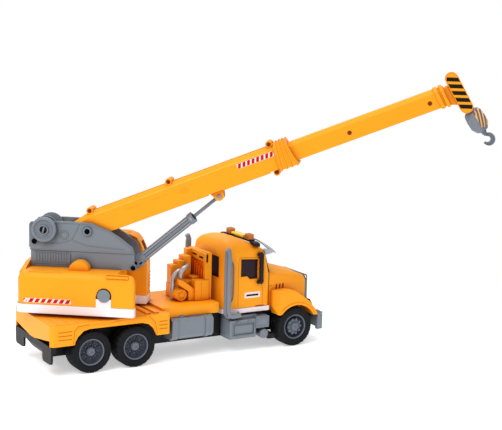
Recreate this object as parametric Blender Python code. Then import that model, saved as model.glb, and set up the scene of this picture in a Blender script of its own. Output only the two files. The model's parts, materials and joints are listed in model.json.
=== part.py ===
"""Toy crane truck: a three-axle bonneted lorry with a slewing telescopic crane on its rear deck.

Lengths in this file are millimetres and heights are measured from the ground; MM turns them into metres.
+X is the truck's front and +Y its left side. The slewing axis stands at X = 0, Y = 0, and the datum
empty lowers everything so that the flat underside of the chassis lies at Z = 0.
"""
import math

import bmesh
import bpy
from mathutils import Matrix, Vector

MM = 0.001
GAP = 0.3

# Running gear
GROUND_CLEARANCE = 20.0
TYRE_RADIUS = 29.0
TYRE_WIDTH = 27.0
RIM_RADIUS = 18.6
WHEEL_FACE_Y = 65.0
AXLE_RADIUS = 1.8
AXLE_BORE_RADIUS = 2.15
ROD_END_Y = 54.0
REAR_AXLE_X = -33.0
MIDDLE_AXLE_X = 32.2
FRONT_AXLE_X = 288.9

# Deck and chassis
DECK_REAR_X = -93.0
DECK_FRONT_X = 82.5
DECK_HALF_WIDTH = 67.0
DECK_BOTTOM_Z = 42.5
DECK_TOP_Z = 71.0
CHASSIS_HALF_WIDTH = 32.0
CHASSIS_FRONT_X = 336.0
HUB_RADIUS = 18.0
HUB_LOW_Z = 68.1
TURNTABLE_RADIUS = 46.0
TURNTABLE_TOP_Z = 75.5

# Truck cab
CAB_REAR_X = 177.0
CAB_FRONT_X = 252.0
CAB_HALF_WIDTH = 50.0
CAB_FLOOR_Z = 62.3
CAB_ROOF_Z = 162.0
CAB_WALL = 2.4
HOOD_FRONT_X = 323.0
STACK_X = 177.0
STACK_Y = 61.0
STACK_RADIUS = 3.7
BAR_REAR_X = 224.0
BAR_FRONT_X = 234.0
BAR_TOP_Z = 157.0
BUTTON_TRAVEL = 1.5

# Slewing upper works, in the house's own directions
SWING_ANGLE = math.radians(-37.0)
HOUSE_REAR_X = -96.0
SKIRT_REAR_X = -97.5
HOUSE_FRONT_X = 66.0
HOUSE_HALF_WIDTH = 60.0
SKIRT_BOTTOM_Z = 76.0
SKIRT_TOP_Z = 88.0
HOUSE_TOP_Z = 132.0
CRANE_CAB_INNER_Y = 22.5
CRANE_CAB_FRONT_X = 67.0
CRANE_CAB_ROOF_Z = 174.0
PLATE_OUTER_Y = 20.5
PLATE_INNER_Y = 16.8
KNOB_X, KNOB_Z = -66.0, 184.3

# Boom, measured along and across it from its pivot
BOOM_PIVOT_X, BOOM_PIVOT_Z = -7.0, 183.5
BOOM_ANGLE = math.radians(22.3)
BOOM_END = 288.0
BOOM_TAIL = -24.0
BOOM_HALF_WIDTH = 14.8
BOOM_LOW, BOOM_EDGE, BOOM_RIDGE = -10.0, 17.0, 23.0
BOOM_WALL = 2.2
BOSS_PLACES = ((10.5, 24.6), (127.0, 24.6), (272.0, 25.5), (269.5, -13.3))
COLLAR_START, COLLAR_END = 277.0, 293.0
EXTENSION_START, EXTENSION_END = 205.0, 512.0
EXTENSION_HALF_WIDTH = 12.0
EXTENSION_LOW, EXTENSION_EDGE, EXTENSION_RIDGE = -7.5, 13.3, 18.6
HEAD_TOP = (526.3, 22.5)
HEAD_BOTTOM = (531.7, -17.0)
HEAD_RADIUS = 8.6
HEAD_PLATE_OUTER_Y, HEAD_PLATE_INNER_Y = 13.0, 9.8

# Lifting cylinder
CYLINDER_FOOT = (57.0, 139.5)
FOOT_HOLE = (56.4, 135.6)
CLEVIS_PLACE = (184.3, -17.5)
BARREL_RADIUS = 6.6
BARREL_LENGTH = 103.0
ROD_RADIUS = 2.4
ROD_LENGTH = 104.0

# Hook block, which hangs tilted and twisted while it is drawn up against the boom head
ROPE_X = 9.0
KNOT_Z = -9.4
BLOCK_TILT = math.radians(34.0)
BLOCK_TWIST = math.radians(45.0)
BLOCK_BOTTOM = -27.1
BLOCK_STATIONS = ((BLOCK_BOTTOM, 4.6, 4.4), (-25.0, 6.2, 5.6), (-18.0, 8.4, 7.6),
                  (-8.0, 8.6, 8.0), (0.0, 8.4, 7.0), (2.3, 6.8, 5.2))
HOOK_RADIUS = 1.9
HOOK_BEND = 5.8


# ---------------------------------------------------------------- tools

def clear_scene():
    for obj in list(bpy.data.objects):
        bpy.data.objects.remove(obj, do_unlink=True)


def make_material(name, colour, roughness, metallic=0.0):
    material = bpy.data.materials.new(name)
    material.use_nodes = True
    shader = material.node_tree.nodes["Principled BSDF"]
    shader.inputs["Base Color"].default_value = (*colour, 1.0)
    shader.inputs["Roughness"].default_value = roughness
    shader.inputs["Metallic"].default_value = metallic
    material.diffuse_color = (*colour, 1.0)
    return material


def empty(name, parent=None, place=(0, 0, 0), turn=(0, 0, 0)):
    pivot = bpy.data.objects.new(name, None)
    bpy.context.scene.collection.objects.link(pivot)
    pivot.parent = parent
    pivot.location = Vector(place) * MM
    pivot.rotation_euler = turn
    return pivot


def arc(centre, radius, start, end, steps):
    """Points on an arc, from angle start to angle end in degrees."""
    points = []
    for i in range(steps + 1):
        angle = math.radians(start + (end - start) * i / steps)
        points.append((centre[0] + radius * math.cos(angle), centre[1] + radius * math.sin(angle)))
    return points


def rounded(corners, radius, steps=3):
    """The polygon with each corner rounded; radius is one value, or one for each corner."""
    points = []
    count = len(corners)
    for i, corner in enumerate(corners):
        reach = radius[i] if isinstance(radius, (list, tuple)) else radius
        here = Vector(corner)
        if reach <= 0:
            points.append(tuple(here))
            continue
        before = (Vector(corners[i - 1]) - here)
        after = (Vector(corners[(i + 1) % count]) - here)
        half = before.angle(after) / 2
        setback = min(reach / math.tan(half), before.length * 0.49, after.length * 0.49)
        start = here + before.normalized() * setback
        end = here + after.normalized() * setback
        for k in range(steps + 1):
            t = k / steps
            points.append(tuple(start * (1 - t) ** 2 + here * (2 * t * (1 - t)) + end * t ** 2))
    return points


def mirrored(half):
    """A closed outline from its right half, listed from bottom to top, mirrored about x = 0."""
    return list(half) + [(-x, y) for x, y in reversed(half) if abs(x) > 1e-6]


def on_axis(axis, first, second, along):
    """The point at (first, second) of an outline, standing at along on the axis."""
    if axis == "X":
        return (along, first, second)
    if axis == "Y":
        return (first, along, second)
    return (first, second, along)


def loft(bm, rings):
    """A closed solid through rings that hold the same number of points."""
    layers = [[bm.verts.new(Vector(p) * MM) for p in ring] for ring in rings]
    faces = [bm.faces.new(layers[0]), bm.faces.new(layers[-1])]
    count = len(layers[0])
    for lower, upper in zip(layers, layers[1:]):
        for i in range(count):
            j = (i + 1) % count
            faces.append(bm.faces.new((lower[i], lower[j], upper[j], upper[i])))
    bmesh.ops.recalc_face_normals(bm, faces=faces)
    return faces


def prism(bm, outline, axis, low, high):
    """The outline carried along an axis from low to high."""
    return loft(bm, [[on_axis(axis, a, b, level) for a, b in outline] for level in (low, high)])


def box(bm, low, high):
    corners = [(low[0], low[1]), (high[0], low[1]), (high[0], high[1]), (low[0], high[1])]
    return prism(bm, corners, "Z", low[2], high[2])


def turned(bm, profile, axis, centre, segments=24):
    """A profile of (radius, distance along the axis) points turned about the axis through centre.

    A profile that starts and ends on the axis is a solid; any other one closes on itself as a ring.
    """
    solid = profile[0][0] == 0 and profile[-1][0] == 0
    columns = []
    for radius, along in profile:
        count = 1 if radius == 0 else segments
        column = []
        for k in range(count):
            angle = 2 * math.pi * k / segments
            spot = Vector(on_axis(axis, radius * math.cos(angle), radius * math.sin(angle), along))
            column.append(bm.verts.new((spot + Vector(centre)) * MM))
        columns.append(column)
    pairs = list(zip(columns, columns[1:]))
    if not solid:
        pairs.append((columns[-1], columns[0]))
    faces = []
    for first, second in pairs:
        for k in range(segments):
            n = (k + 1) % segments
            ring = [first[k % len(first)], first[n % len(first)],
                    second[n % len(second)], second[k % len(second)]]
            faces.append(bm.faces.new(list(dict.fromkeys(ring))))
    bmesh.ops.recalc_face_normals(bm, faces=faces)
    return faces


def disc(bm, radius, axis, centre, low, high, segments=24):
    turned(bm, [(0, low), (radius, low), (radius, high), (0, high)], axis, centre, segments)


def tube_along(bm, path, radius, sides=8):
    """A round bar that follows the points of a path."""
    spots = [Vector(p) for p in path]
    rings = []
    side = None
    for i, spot in enumerate(spots):
        forward = (spots[min(i + 1, len(spots) - 1)] - spots[max(i - 1, 0)]).normalized()
        if side is None:
            helper = Vector((0, 0, 1)) if abs(forward.z) < 0.9 else Vector((1, 0, 0))
            side = forward.cross(helper).normalized()
        else:
            side = (side - forward * side.dot(forward)).normalized()
        other = forward.cross(side)
        rings.append([spot + (side * math.cos(2 * math.pi * k / sides)
                              + other * math.sin(2 * math.pi * k / sides)) * radius
                      for k in range(sides)])
    loft(bm, rings)


def make(name, bm, material, parent, sharp=35.0):
    """One named object from a finished bmesh, shaded smooth except over sharp edges."""
    bmesh.ops.recalc_face_normals(bm, faces=bm.faces)
    mesh = bpy.data.meshes.new(name)
    bm.to_mesh(mesh)
    bm.free()
    mesh.shade_smooth()
    mesh.set_sharp_from_angle(angle=math.radians(sharp))
    mesh.materials.append(material)
    obj = bpy.data.objects.new(name, mesh)
    bpy.context.scene.collection.objects.link(obj)
    obj.parent = parent
    return obj


def tool_object(name, build, parent):
    """A hidden shape that a Boolean modifier reads; build draws it into a bmesh."""
    bm = bmesh.new()
    build(bm)
    mesh = bpy.data.meshes.new(name)
    bm.to_mesh(mesh)
    bm.free()
    obj = bpy.data.objects.new(name, mesh)
    bpy.context.scene.collection.objects.link(obj)
    obj.parent = parent
    obj.hide_render = True
    obj.display_type = "WIRE"
    return obj


def combine(obj, operation, *builders):
    """Adds one Boolean modifier to obj for each builder."""
    for i, build in enumerate(builders):
        name = f"{obj.name}_{operation.lower()}_{len(obj.modifiers)}"
        modifier = obj.modifiers.new(name, "BOOLEAN")
        modifier.operation = operation
        modifier.solver = "EXACT"
        modifier.object = tool_object(name, build, obj.parent)
    return obj


def cut(obj, *builders):
    return combine(obj, "DIFFERENCE", *builders)


def add(obj, *builders):
    return combine(obj, "UNION", *builders)


def both_sides(y_low, y_high):
    """The span on the truck's left and its mirror image on the right."""
    return ((y_low, y_high), (-y_high, -y_low))


# ---------------------------------------------------------------- wheels and axles

def tyre_profile(face, inner):
    """Ring section of a tyre between its outer face and its inner face on the axle's line."""
    shoulder = 3.0 if face > inner else -3.0
    return [(RIM_RADIUS, face - shoulder * 0.4), (RIM_RADIUS + 4.5, face), (TYRE_RADIUS - 4.0, face),
            (TYRE_RADIUS, face - shoulder), (TYRE_RADIUS, inner + shoulder),
            (TYRE_RADIUS - 4.0, inner), (RIM_RADIUS + 4.5, inner), (RIM_RADIUS, inner + shoulder * 0.4)]


def rim_profile(sign, hub_out):
    """Half section of a dished rim: its blind axle bore, back, outer lip, dish and hub boss."""
    face = WHEEL_FACE_Y
    back = face - TYRE_WIDTH + 2.0
    edge = RIM_RADIUS - 0.15
    half = [(0, ROD_END_Y + 0.4), (AXLE_BORE_RADIUS, ROD_END_Y + 0.4), (AXLE_BORE_RADIUS, back),
            (edge, back), (edge, face - 1.2), (edge - 2.6, face - 0.6), (edge - 4.6, face - 7.0),
            (7.4, face - 7.6), (5.6, face + hub_out), (0, face + hub_out)]
    return [(radius, sign * y) for radius, y in half]


def build_axle(name, axle_x, hub_out, metal, rubber, plastic, datum):
    pivot = empty(f"{name}_axle_pivot", datum, (axle_x, 0, TYRE_RADIUS))
    bm = bmesh.new()
    disc(bm, AXLE_RADIUS, "Y", (0, 0, 0), -ROD_END_Y, ROD_END_Y, 12)
    make(f"{name}_axle_rod", bm, metal, pivot)
    for side, sign in (("left", 1.0), ("right", -1.0)):
        face = sign * WHEEL_FACE_Y
        inner = sign * (WHEEL_FACE_Y - TYRE_WIDTH)
        bm = bmesh.new()
        turned(bm, tyre_profile(face, inner), "Y", (0, 0, 0), 26)
        make(f"{name}_tyre_{side}", bm, rubber, pivot, 50)
        bm = bmesh.new()
        turned(bm, rim_profile(sign, hub_out), "Y", (0, 0, 0), 20)
        make(f"{name}_rim_{side}", bm, plastic, pivot)


# ---------------------------------------------------------------- chassis

def build_chassis(black, datum):
    side_view = [(-88, 30), (-80, GROUND_CLEARANCE), (328, GROUND_CLEARANCE), (CHASSIS_FRONT_X, 27),
                 (CHASSIS_FRONT_X, 44), (300, 54.4), (170, 54.4), (168, 59), (84, 67.7), (-88, 67.7)]
    bm = bmesh.new()
    prism(bm, side_view, "Y", -CHASSIS_HALF_WIDTH, CHASSIS_HALF_WIDTH)
    frame = make("chassis_frame", bm, black, datum)
    inner = CHASSIS_HALF_WIDTH - 4.0

    def wells(b):
        floor = GROUND_CLEARANCE + 4.0
        for start, end in ((-78, -8), (8, 76), (96, 166), (172, 254), (262, 322)):
            box(b, (start, -inner, floor), (end, inner, 80))

    def axle_bores(b):
        for axle_x in (REAR_AXLE_X, MIDDLE_AXLE_X, FRONT_AXLE_X):
            disc(b, AXLE_BORE_RADIUS, "Y", (axle_x, 0, TYRE_RADIUS), -40, 40, 14)

    def tail(b):
        box(b, (-92, -66, 33.5), (-85, 66, 42.2))

    def flap(y_low, y_high):
        return lambda b: prism(b, rounded([(y_low, 18), (y_high, 18), (y_high, 40), (y_low, 40)],
                                          [5, 5, 0, 0], 2), "X", -91.8, -89.0)

    def steps(b):
        for y_low, y_high in both_sides(30, 58):
            box(b, (247.5, y_low, 14), (257, y_high, 21.5))

    cut(frame, wells, axle_bores)
    add(frame, tail, flap(34, 65.5), flap(-65.5, -34), steps)


def arch_outline():
    """Side outline of the opening over the two rear wheels."""
    return [(-60.5, 38), (-60.5, 42), (-54.5, 53), (-46.5, 60.2), (-37.5, 62.4),
            (39.5, 62.4), (49.5, 59.6), (56.5, 53), (62.0, 42), (62.0, 38)]


def build_deck(orange, datum):
    bm = bmesh.new()
    outline = rounded([(DECK_REAR_X, -DECK_HALF_WIDTH), (DECK_FRONT_X, -DECK_HALF_WIDTH),
                       (DECK_FRONT_X, DECK_HALF_WIDTH), (DECK_REAR_X, DECK_HALF_WIDTH)], [7, 4, 4, 7], 3)
    prism(bm, outline, "Z", DECK_BOTTOM_Z, DECK_TOP_Z)
    deck = make("rear_deck", bm, orange, datum)
    base_front, base_half, base_top = 168.0, 50.0, 74.5

    def hollow(b):
        box(b, (DECK_REAR_X + 2.5, -64.5, 30), (DECK_FRONT_X - 2.5, 64.5, DECK_TOP_Z - 3))

    def base(b):
        box(b, (DECK_FRONT_X - 4, -base_half, 60.0), (base_front, base_half, base_top))

    def base_hollow(b):
        box(b, (DECK_FRONT_X - 3, -base_half + 2.5, 30), (base_front - 2.5, base_half - 2.5, base_top - 2.5))

    def ring(b):
        turned(b, [(34, DECK_TOP_Z - 1), (TURNTABLE_RADIUS, DECK_TOP_Z - 1),
                   (TURNTABLE_RADIUS, TURNTABLE_TOP_Z), (34, TURNTABLE_TOP_Z)], "Z", (0, 0, 0), 32)

    def ridges(b):
        for start in (50.0, 62.0):
            box(b, (start, -58, DECK_TOP_Z - 1), (start + 7, 58, DECK_TOP_Z + 2.2))

    def arches(b):
        prism(b, arch_outline(), "Y", -70, 70)

    def hub_hole(b):
        disc(b, HUB_RADIUS + GAP, "Z", (0, 0, 0), 60, 80, 24)

    def rear_opening(b):
        box(b, (166, -CHASSIS_HALF_WIDTH - 1, 50), (170, CHASSIS_HALF_WIDTH + 1, 60.5))

    add(deck, base)
    cut(deck, hollow, base_hollow)
    add(deck, ring, ridges)
    cut(deck, arches, hub_hole, rear_opening)

    def tail_notches(b):
        """The rear wall's lower edge rises towards both corners."""
        for sign in (-1, 1):
            corners = [(sign * 8, 40), (sign * 8, DECK_BOTTOM_Z), (sign * 62, 50.5), (sign * 62, 40)]
            prism(b, corners if sign > 0 else corners[::-1], "X", DECK_REAR_X - 2, DECK_REAR_X + 4)

    cut(deck, tail_notches)

    def louvres(b):
        for x_low, x_high in ((-82, -63), (65.5, 78)):
            for row in range(3):
                level = 50.5 + 5.2 * row
                for y_low, y_high in both_sides(DECK_HALF_WIDTH - 0.8, DECK_HALF_WIDTH + 2):
                    box(b, (x_low, y_low, level), (x_high, y_high, level + 1.6))

    cut(deck, louvres)


def build_tanks(grey, datum):
    for side, (y_low, y_high) in zip(("left", "right"), both_sides(36.0, 60.5)):
        outer = y_high if side == "left" else y_low
        inner = y_low if side == "left" else y_high
        sign = 1.0 if side == "left" else -1.0
        section = [(inner, 31), (outer - sign * 5, 30), (outer, 35), (outer, 55.5),
                   (outer - sign * 5, 59.6), (inner, 59.6)]
        bm = bmesh.new()
        prism(bm, section, "X", 89.5, 154)
        tank = make(f"fuel_tank_{side}", bm, grey, datum)

        def band(start, end, sign=sign, inner=inner, outer=outer):
            outline = [(inner, 29.5), (outer - sign * 5.5, 28.8), (outer + sign, 34.5),
                       (outer + sign, 56), (outer - sign * 4.5, 59.7), (inner, 59.7)]
            return lambda b: prism(b, outline, "X", start, end)

        add(tank, band(88.5, 98.5), band(141.5, 147.5))


def build_tool_boxes(grey, datum):
    for side, sign in (("left", 1.0), ("right", -1.0)):
        def span(low, high, sign=sign):
            return sorted((sign * low, sign * high))

        y_low, y_high = span(33, 60)
        bm = bmesh.new()
        box(bm, (181, y_low, 20.3), (224.5, y_high, 47.5))
        chest = make(f"tool_box_{side}", bm, grey, datum)

        def upper(b, span=span):
            low, high = span(33, 55)
            box(b, (181.5, low, 40), (229, high, 52))

        def small_box(b, span=span):
            low, high = span(34, 61)
            box(b, (224, low, 33), (246, high, 49.5))

        def air_tank(b, span=span):
            low, high = span(34, 61)
            disc(b, 6.6, "Y", (238, 0, 23.5), low, high, 16)

        def strap(b, span=span):
            low, high = span(37, 55)
            box(b, (234.5, low, 25), (241.5, high, 34))

        def panel(b, span=span):
            low, high = span(59, 62)
            box(b, (186.5, low, 25), (221.5, high, 42.5))

        def panel_face(b, span=span):
            low, high = span(58.5, 59.7)
            box(b, (189.5, low, 28), (218.5, high, 39.5))

        add(chest, upper, small_box, air_tank, strap)
        cut(chest, panel)
        add(chest, panel_face)


def build_bumper(grey, datum):
    front = [(331, 60), (340.5, 59), (346.5, 40), (348.5, 0)]
    outline = front + [(x, -y) for x, y in reversed(front[:-1])]
    outline += [(331, -54), (337, -52), (339, -36), (339, 36), (337, 52), (331, 54)]
    bm = bmesh.new()
    prism(bm, outline, "Z", 19.5, 42.5)
    bumper = make("bumper", bm, grey, datum)
    cut(bumper, lambda b: box(b, (346, -20, 27), (352, 20, 35)))


# ---------------------------------------------------------------- truck cab

def roof_drop(x):
    """How far the roof has fallen at x: level at the back, then ever steeper towards the windscreen."""
    return 16.0 * max(0.0, (x - 190.0) / 62.0) ** 2


def cab_solid(inset):
    """The cab's outer shape pulled in by inset, as a loft up through plan outlines."""
    rings = []
    floor = CAB_FLOOR_Z if inset == 0 else CAB_FLOOR_Z - 10
    levels = [(floor, 0, 0, 0), (107, 0, 0, 0), (136, 0, 6.2, 0), (144, 0.6, 8.6, 0.8), (149, 2, 12, 2.4),
              (153, 4.5, 16, 5.5), (156.5, 8, 22, 10), (159, 12, 29, 17), (161, 17, 36, 25),
              (CAB_ROOF_Z, 24, 43, 33)]
    for level, back, front, side in levels:
        rear = CAB_REAR_X + back + inset
        nose = CAB_FRONT_X - front - inset
        half = CAB_HALF_WIDTH - side - inset
        share = max(0.0, (level - 144) / (CAB_ROOF_Z - 144))
        corner = min(12.0, (nose - rear) * 0.45)
        plan = rounded([(rear, -half), (nose, -half), (nose, half), (rear, half)],
                       [corner, min(6.0, corner), min(6.0, corner), corner], 4)
        rings.append([(x, y, level - inset * (level > 140) - share * roof_drop(x)) for x, y in plan])
    return rings


def build_cab(orange, glass, white, datum):
    bm = bmesh.new()
    loft(bm, cab_solid(0.0))
    cab = make("truck_cab", bm, orange, datum)

    def side_windows(b):
        prism(b, [(203, 108), (214, 108), (218, 103.5), (231.5, 103.5), (231.5, 132), (203, 134)],
              "Y", -60, 60)

    def windscreen(b):
        prism(b, rounded([(-42, 109.5), (42, 109.5), (39, 146), (-39, 146)], 3, 2), "X", 230, 270)

    def rear_window(b):
        prism(b, rounded([(-33, 105), (33, 105), (33, 137), (-33, 137)], 3, 2), "X", 170, 190)

    cut(cab, lambda b: loft(b, cab_solid(CAB_WALL)), side_windows, windscreen, rear_window)

    bm = bmesh.new()
    loft(bm, [[(x, y, max(z, 95.0)) for x, y, z in ring] for ring in cab_solid(CAB_WALL + GAP)[0:1]]
         + cab_solid(CAB_WALL + GAP)[1:4])
    windows = make("cab_windows", bm, glass, datum)
    cut(windows, lambda b: loft(b, [[(x, y, max(z, 90.0)) for x, y, z in ring]
                                    for ring in cab_solid(CAB_WALL + 1.8)[0:1]]
                                + cab_solid(CAB_WALL + 1.8)[1:4]))

    sill_low, sill_high = 55.0, CAB_FLOOR_Z - GAP
    plan = rounded([(CAB_REAR_X - 1, -51), (253, -51), (253, 51), (CAB_REAR_X - 1, 51)], [16, 3, 3, 16], 3)
    bm = bmesh.new()
    prism(bm, plan, "Z", sill_low, sill_high)
    sill = make("cab_sill_trim", bm, white, datum)
    cut(sill, lambda b: box(b, (184, -40, 50), (248, 40, 60)))


def hood_ring(x, half, base, crease, top):
    profile = [(half, base), (half, crease), (half - 4, crease + 3.5), (half * 0.55, top - 2.2), (0, top)]
    return [(x, y, z) for y, z in mirrored(profile)]


def build_hood(orange, grey, datum):
    bm = bmesh.new()
    loft(bm, [hood_ring(253, 46.5, 62, 106.5, 117.5), hood_ring(278, 43.5, 50, 103.5, 113),
              hood_ring(305, 39.5, 50, 99.5, 105.5), hood_ring(318, 36.5, 50, 96, 100.5),
              hood_ring(HOOD_FRONT_X, 35, 50, 91, 95)])
    hood = make("hood", bm, orange, datum)

    def fender(sign):
        outer = [(256, 60), (261, 48.5)]
        wheel_arch = arc((FRONT_AXLE_X + 3.0, 28.0), 33.2, 142, 28, 8)
        crown = [(329, 43.5), (324, 53), (314, 65), (303, 73), (291, 81.5), (280, 84), (268, 84), (256, 84)]
        low, high = sorted((sign * 34, sign * 63.5))
        return lambda b: prism(b, outer + wheel_arch + crown, "Y", low, high)

    def shoulder(sign):
        """Slopes the flat top of a fender down towards its outer edge."""
        outline = [(sign * 45, 90), (sign * 66, 76), (sign * 66, 92)]
        return lambda b: prism(b, outline, "X", 250, 335)

    def inside(b):
        loft(b, [hood_ring(250, 43.5, 40, 103.5, 114), hood_ring(278, 40.5, 40, 100.5, 109.8),
                 hood_ring(305, 36.5, 40, 96.5, 102.3), hood_ring(320, 33, 40, 92, 96.5)])

    def arch_room(b):
        for low, high in both_sides(CHASSIS_HALF_WIDTH, WHEEL_FACE_Y - 3.5):
            prism(b, arc((FRONT_AXLE_X, TYRE_RADIUS), 31.5, 0, 350, 20), "Y", low, high)

    def front_corner(b):
        for sign in (1, -1):
            prism(b, [(254, sign * 49.5), (254, sign * 70), (266, sign * 70)], "Z", 40, 90)

    add(hood, fender(1), fender(-1))
    cut(hood, shoulder(1), shoulder(-1), front_corner, inside, arch_room)

    bm = bmesh.new()
    prism(bm, rounded(mirrored([(28, 50), (32.5, 55), (32.5, 88), (26, 95), (0, 97)]), 2, 2), "X",
          HOOD_FRONT_X + GAP, HOOD_FRONT_X + 5)
    grille = make("grille", bm, grey, datum)

    def slots(b):
        for row in range(6):
            level = 58 + 5.6 * row
            box(b, (HOOD_FRONT_X + 3.4, -26, level), (HOOD_FRONT_X + 8, 26, level + 2.6))

    cut(grille, slots)


def build_roof_gear(chrome, black, amber, yellow, datum):
    """Sun visor, light bar, its two beacons and the press button between them."""
    bm = bmesh.new()
    outline = [(244.5, 0), (261, -9.0), (260.6, -10.6), (244.5, -1.8)]
    half = [(0.0, 156.5), (26, 155.3), (40, 152.2), (50, 148.8)]
    stations = [(-y, z) for y, z in reversed(half[1:])] + half
    rings = [[(x, y, z + dz) for x, dz in outline] for y, z in stations]
    loft(bm, rings)
    make("sun_visor", bm, chrome, datum)

    # each station of the bar: y, underside at the rear and the front edge, top at both edges
    half_bar = [(0, 155.6, 152.4, 156.0, 157.0), (20, 155.6, 152.2, 156.0, 157.0), (34, 155.2, 152.0, 156.0, 157.0),
                (44, 152.8, 150.8, 156.0, 157.0), (50, 151.0, 149.4, 154.4, 155.2)]
    stations = [(-y, *levels) for y, *levels in reversed(half_bar[1:])] + half_bar
    bm = bmesh.new()
    loft(bm, [[(BAR_REAR_X, y, low_rear), (BAR_FRONT_X, y, low_front), (BAR_FRONT_X, y, top_front),
               (BAR_REAR_X, y, top_rear)] for y, low_rear, low_front, top_front, top_rear in stations])
    bar = make("light_bar", bm, black, datum)
    cut(bar, lambda b: box(b, (226.2, -12.3, 150), (231.8, 12.3, 170)))

    for side, sign in (("left", 1), ("right", -1)):
        low, high = sorted((sign * 21, sign * 33))
        bm = bmesh.new()
        box(bm, (224.6, low, BAR_TOP_Z + GAP), (233.4, high, 165.2))
        make(f"beacon_{side}", bm, amber, datum)

    pivot = empty("roof_button_axis", datum, (229, 0, BAR_TOP_Z))
    bm = bmesh.new()
    box(bm, (-5.0, -17, BUTTON_TRAVEL + 0.2), (5.0, 17, 5.0))
    button = make("roof_button", bm, yellow, pivot)
    add(button, lambda b: box(b, (-2.4, -12, -0.4), (2.4, 12, 3)))


def build_stacks(grey, black, datum):
    """Exhaust stacks with their lower elbows and grab rails, and the door mirrors."""
    for side, sign in (("left", 1), ("right", -1)):
        y = sign * STACK_Y
        bm = bmesh.new()
        tube_along(bm, [(197, y, 55.5), (184.5, y, 54.5), (179.5, y, 56.5), (STACK_X, y, 63),
                        (STACK_X, y, 145), (STACK_X - 0.8, y, 149), (STACK_X - 3.0, y, 153)], STACK_RADIUS, 12)
        stack = make(f"exhaust_stack_{side}", bm, grey, datum)

        def rail(b, sign=sign):
            tube_along(b, [(STACK_X, sign * 60, 134), (182.5, sign * 57, 134), (187, sign * 54.5, 131),
                           (188.6, sign * 54.2, 124), (188.6, sign * 54.2, 84), (187, sign * 54.5, 76.5),
                           (182.5, sign * 57, 74), (STACK_X, sign * 60, 74)], 1.3, 6)

        add(stack, rail)

        bm = bmesh.new()
        low, high = sorted((sign * 51.5, sign * 55.5))
        bracket = [(230, 143), (230, 139), (237.2, 139), (237.2, 99.5), (231, 99.5), (231, 95.5),
                   (241.5, 95.5), (241.5, 143)]
        prism(bm, bracket, "Y", low, high)
        mirror = make(f"door_mirror_{side}", bm, black, datum)
        low, high = sorted((sign * 50.3, sign * 52.5))
        add(mirror, lambda b, low=low, high=high: box(b, (232, low, 139.6), (240, high, 142.4)))


def build_engine(orange, silver, datum):
    """The crane's power unit behind the cab, with its silver pipe."""
    base = 74.5 + GAP
    bm = bmesh.new()
    box(bm, (158, -27, base), (168, 27, 142))
    unit = make("engine_unit", bm, orange, datum)

    def side_block(b):
        box(b, (141, -28.5, base), (162.5, -15, 103.5))

    def body(b):
        prism(b, [(124, base), (160, base), (160, 128), (144, 128), (144, 118), (132, 118),
                  (132, 108), (124, 100)], "Y", -14.5, 24)

    def fan_housing(b):
        prism(b, arc((128, 87.6), 12.5, 0, 340, 17), "Y", -25, -2)

    def tower(b):
        box(b, (130, 8, 100), (144, 24, 127))

    def slot(b):
        box(b, (154, -20, 130), (172, -4, 135))
        box(b, (154, 4, 130), (172, 20, 135))
        box(b, (155, -21, 106), (160.5, -16, 128))

    add(unit, side_block, body, fan_housing, tower)
    cut(unit, slot)

    bm = bmesh.new()
    tube_along(bm, [(114.5, 3, base), (114.5, 3, 86), (113.5, 3, 104), (115, 2, 115),
                    (119.5, 0, 123), (127, -3, 125.9), (134, -6, 125), (137.5, -7, 122),
                    (138, -7, 118.4)], 3.3, 10)
    make("engine_pipe", bm, silver, datum)


# ---------------------------------------------------------------- slewing house

def house_plan(inset=0.0, front=HOUSE_FRONT_X, back=HOUSE_REAR_X):
    """Plan of the house with large radii at its rear corners."""
    half, rear, nose = HOUSE_HALF_WIDTH - inset, back + inset, front - inset
    return rounded([(rear, -half), (nose, -half), (nose, half), (rear, half)], [14, 3, 3, 14], 4)


def front_bay(b):
    """Room at the front, between the house's right side and the crane cab, for the lifting cylinder."""
    prism(b, [(40, -44), (46, -49), (80, -49), (80, CRANE_CAB_INNER_Y - GAP), (40, CRANE_CAB_INNER_Y - GAP)],
          "Z", 60, 150)


def crane_cab_rings(inset, inner_y, outer_y, floor):
    """Side outlines across the crane cab, drawn back at the rounded outer front corner."""
    nose, roof = CRANE_CAB_FRONT_X - inset, CRANE_CAB_ROOF_Z - inset
    side = [(-5.7 + inset, floor), (nose, floor), (nose, 132), (nose - 1.8, 143), (nose - 6.2, 154.5),
            (nose - 11, 165 - inset * 0.6), (nose - 16, 171 - inset * 0.9), (nose - 24, roof), (8, roof),
            (0, roof - 2.4), (-5.7 + inset, roof - 10)]
    rings = []
    corner = 12.0 - inset
    for step in range(6):
        angle = math.radians(18.0 * step)
        y = outer_y - corner * (1 - math.sin(angle))
        back = corner * (1 - math.cos(angle))
        rings.append([(x - back * min(1.0, max(0.0, (x - 20) / 25)), y, z) for x, z in side])
    return [[(x, inner_y, z) for x, z in side]] + rings


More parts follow.
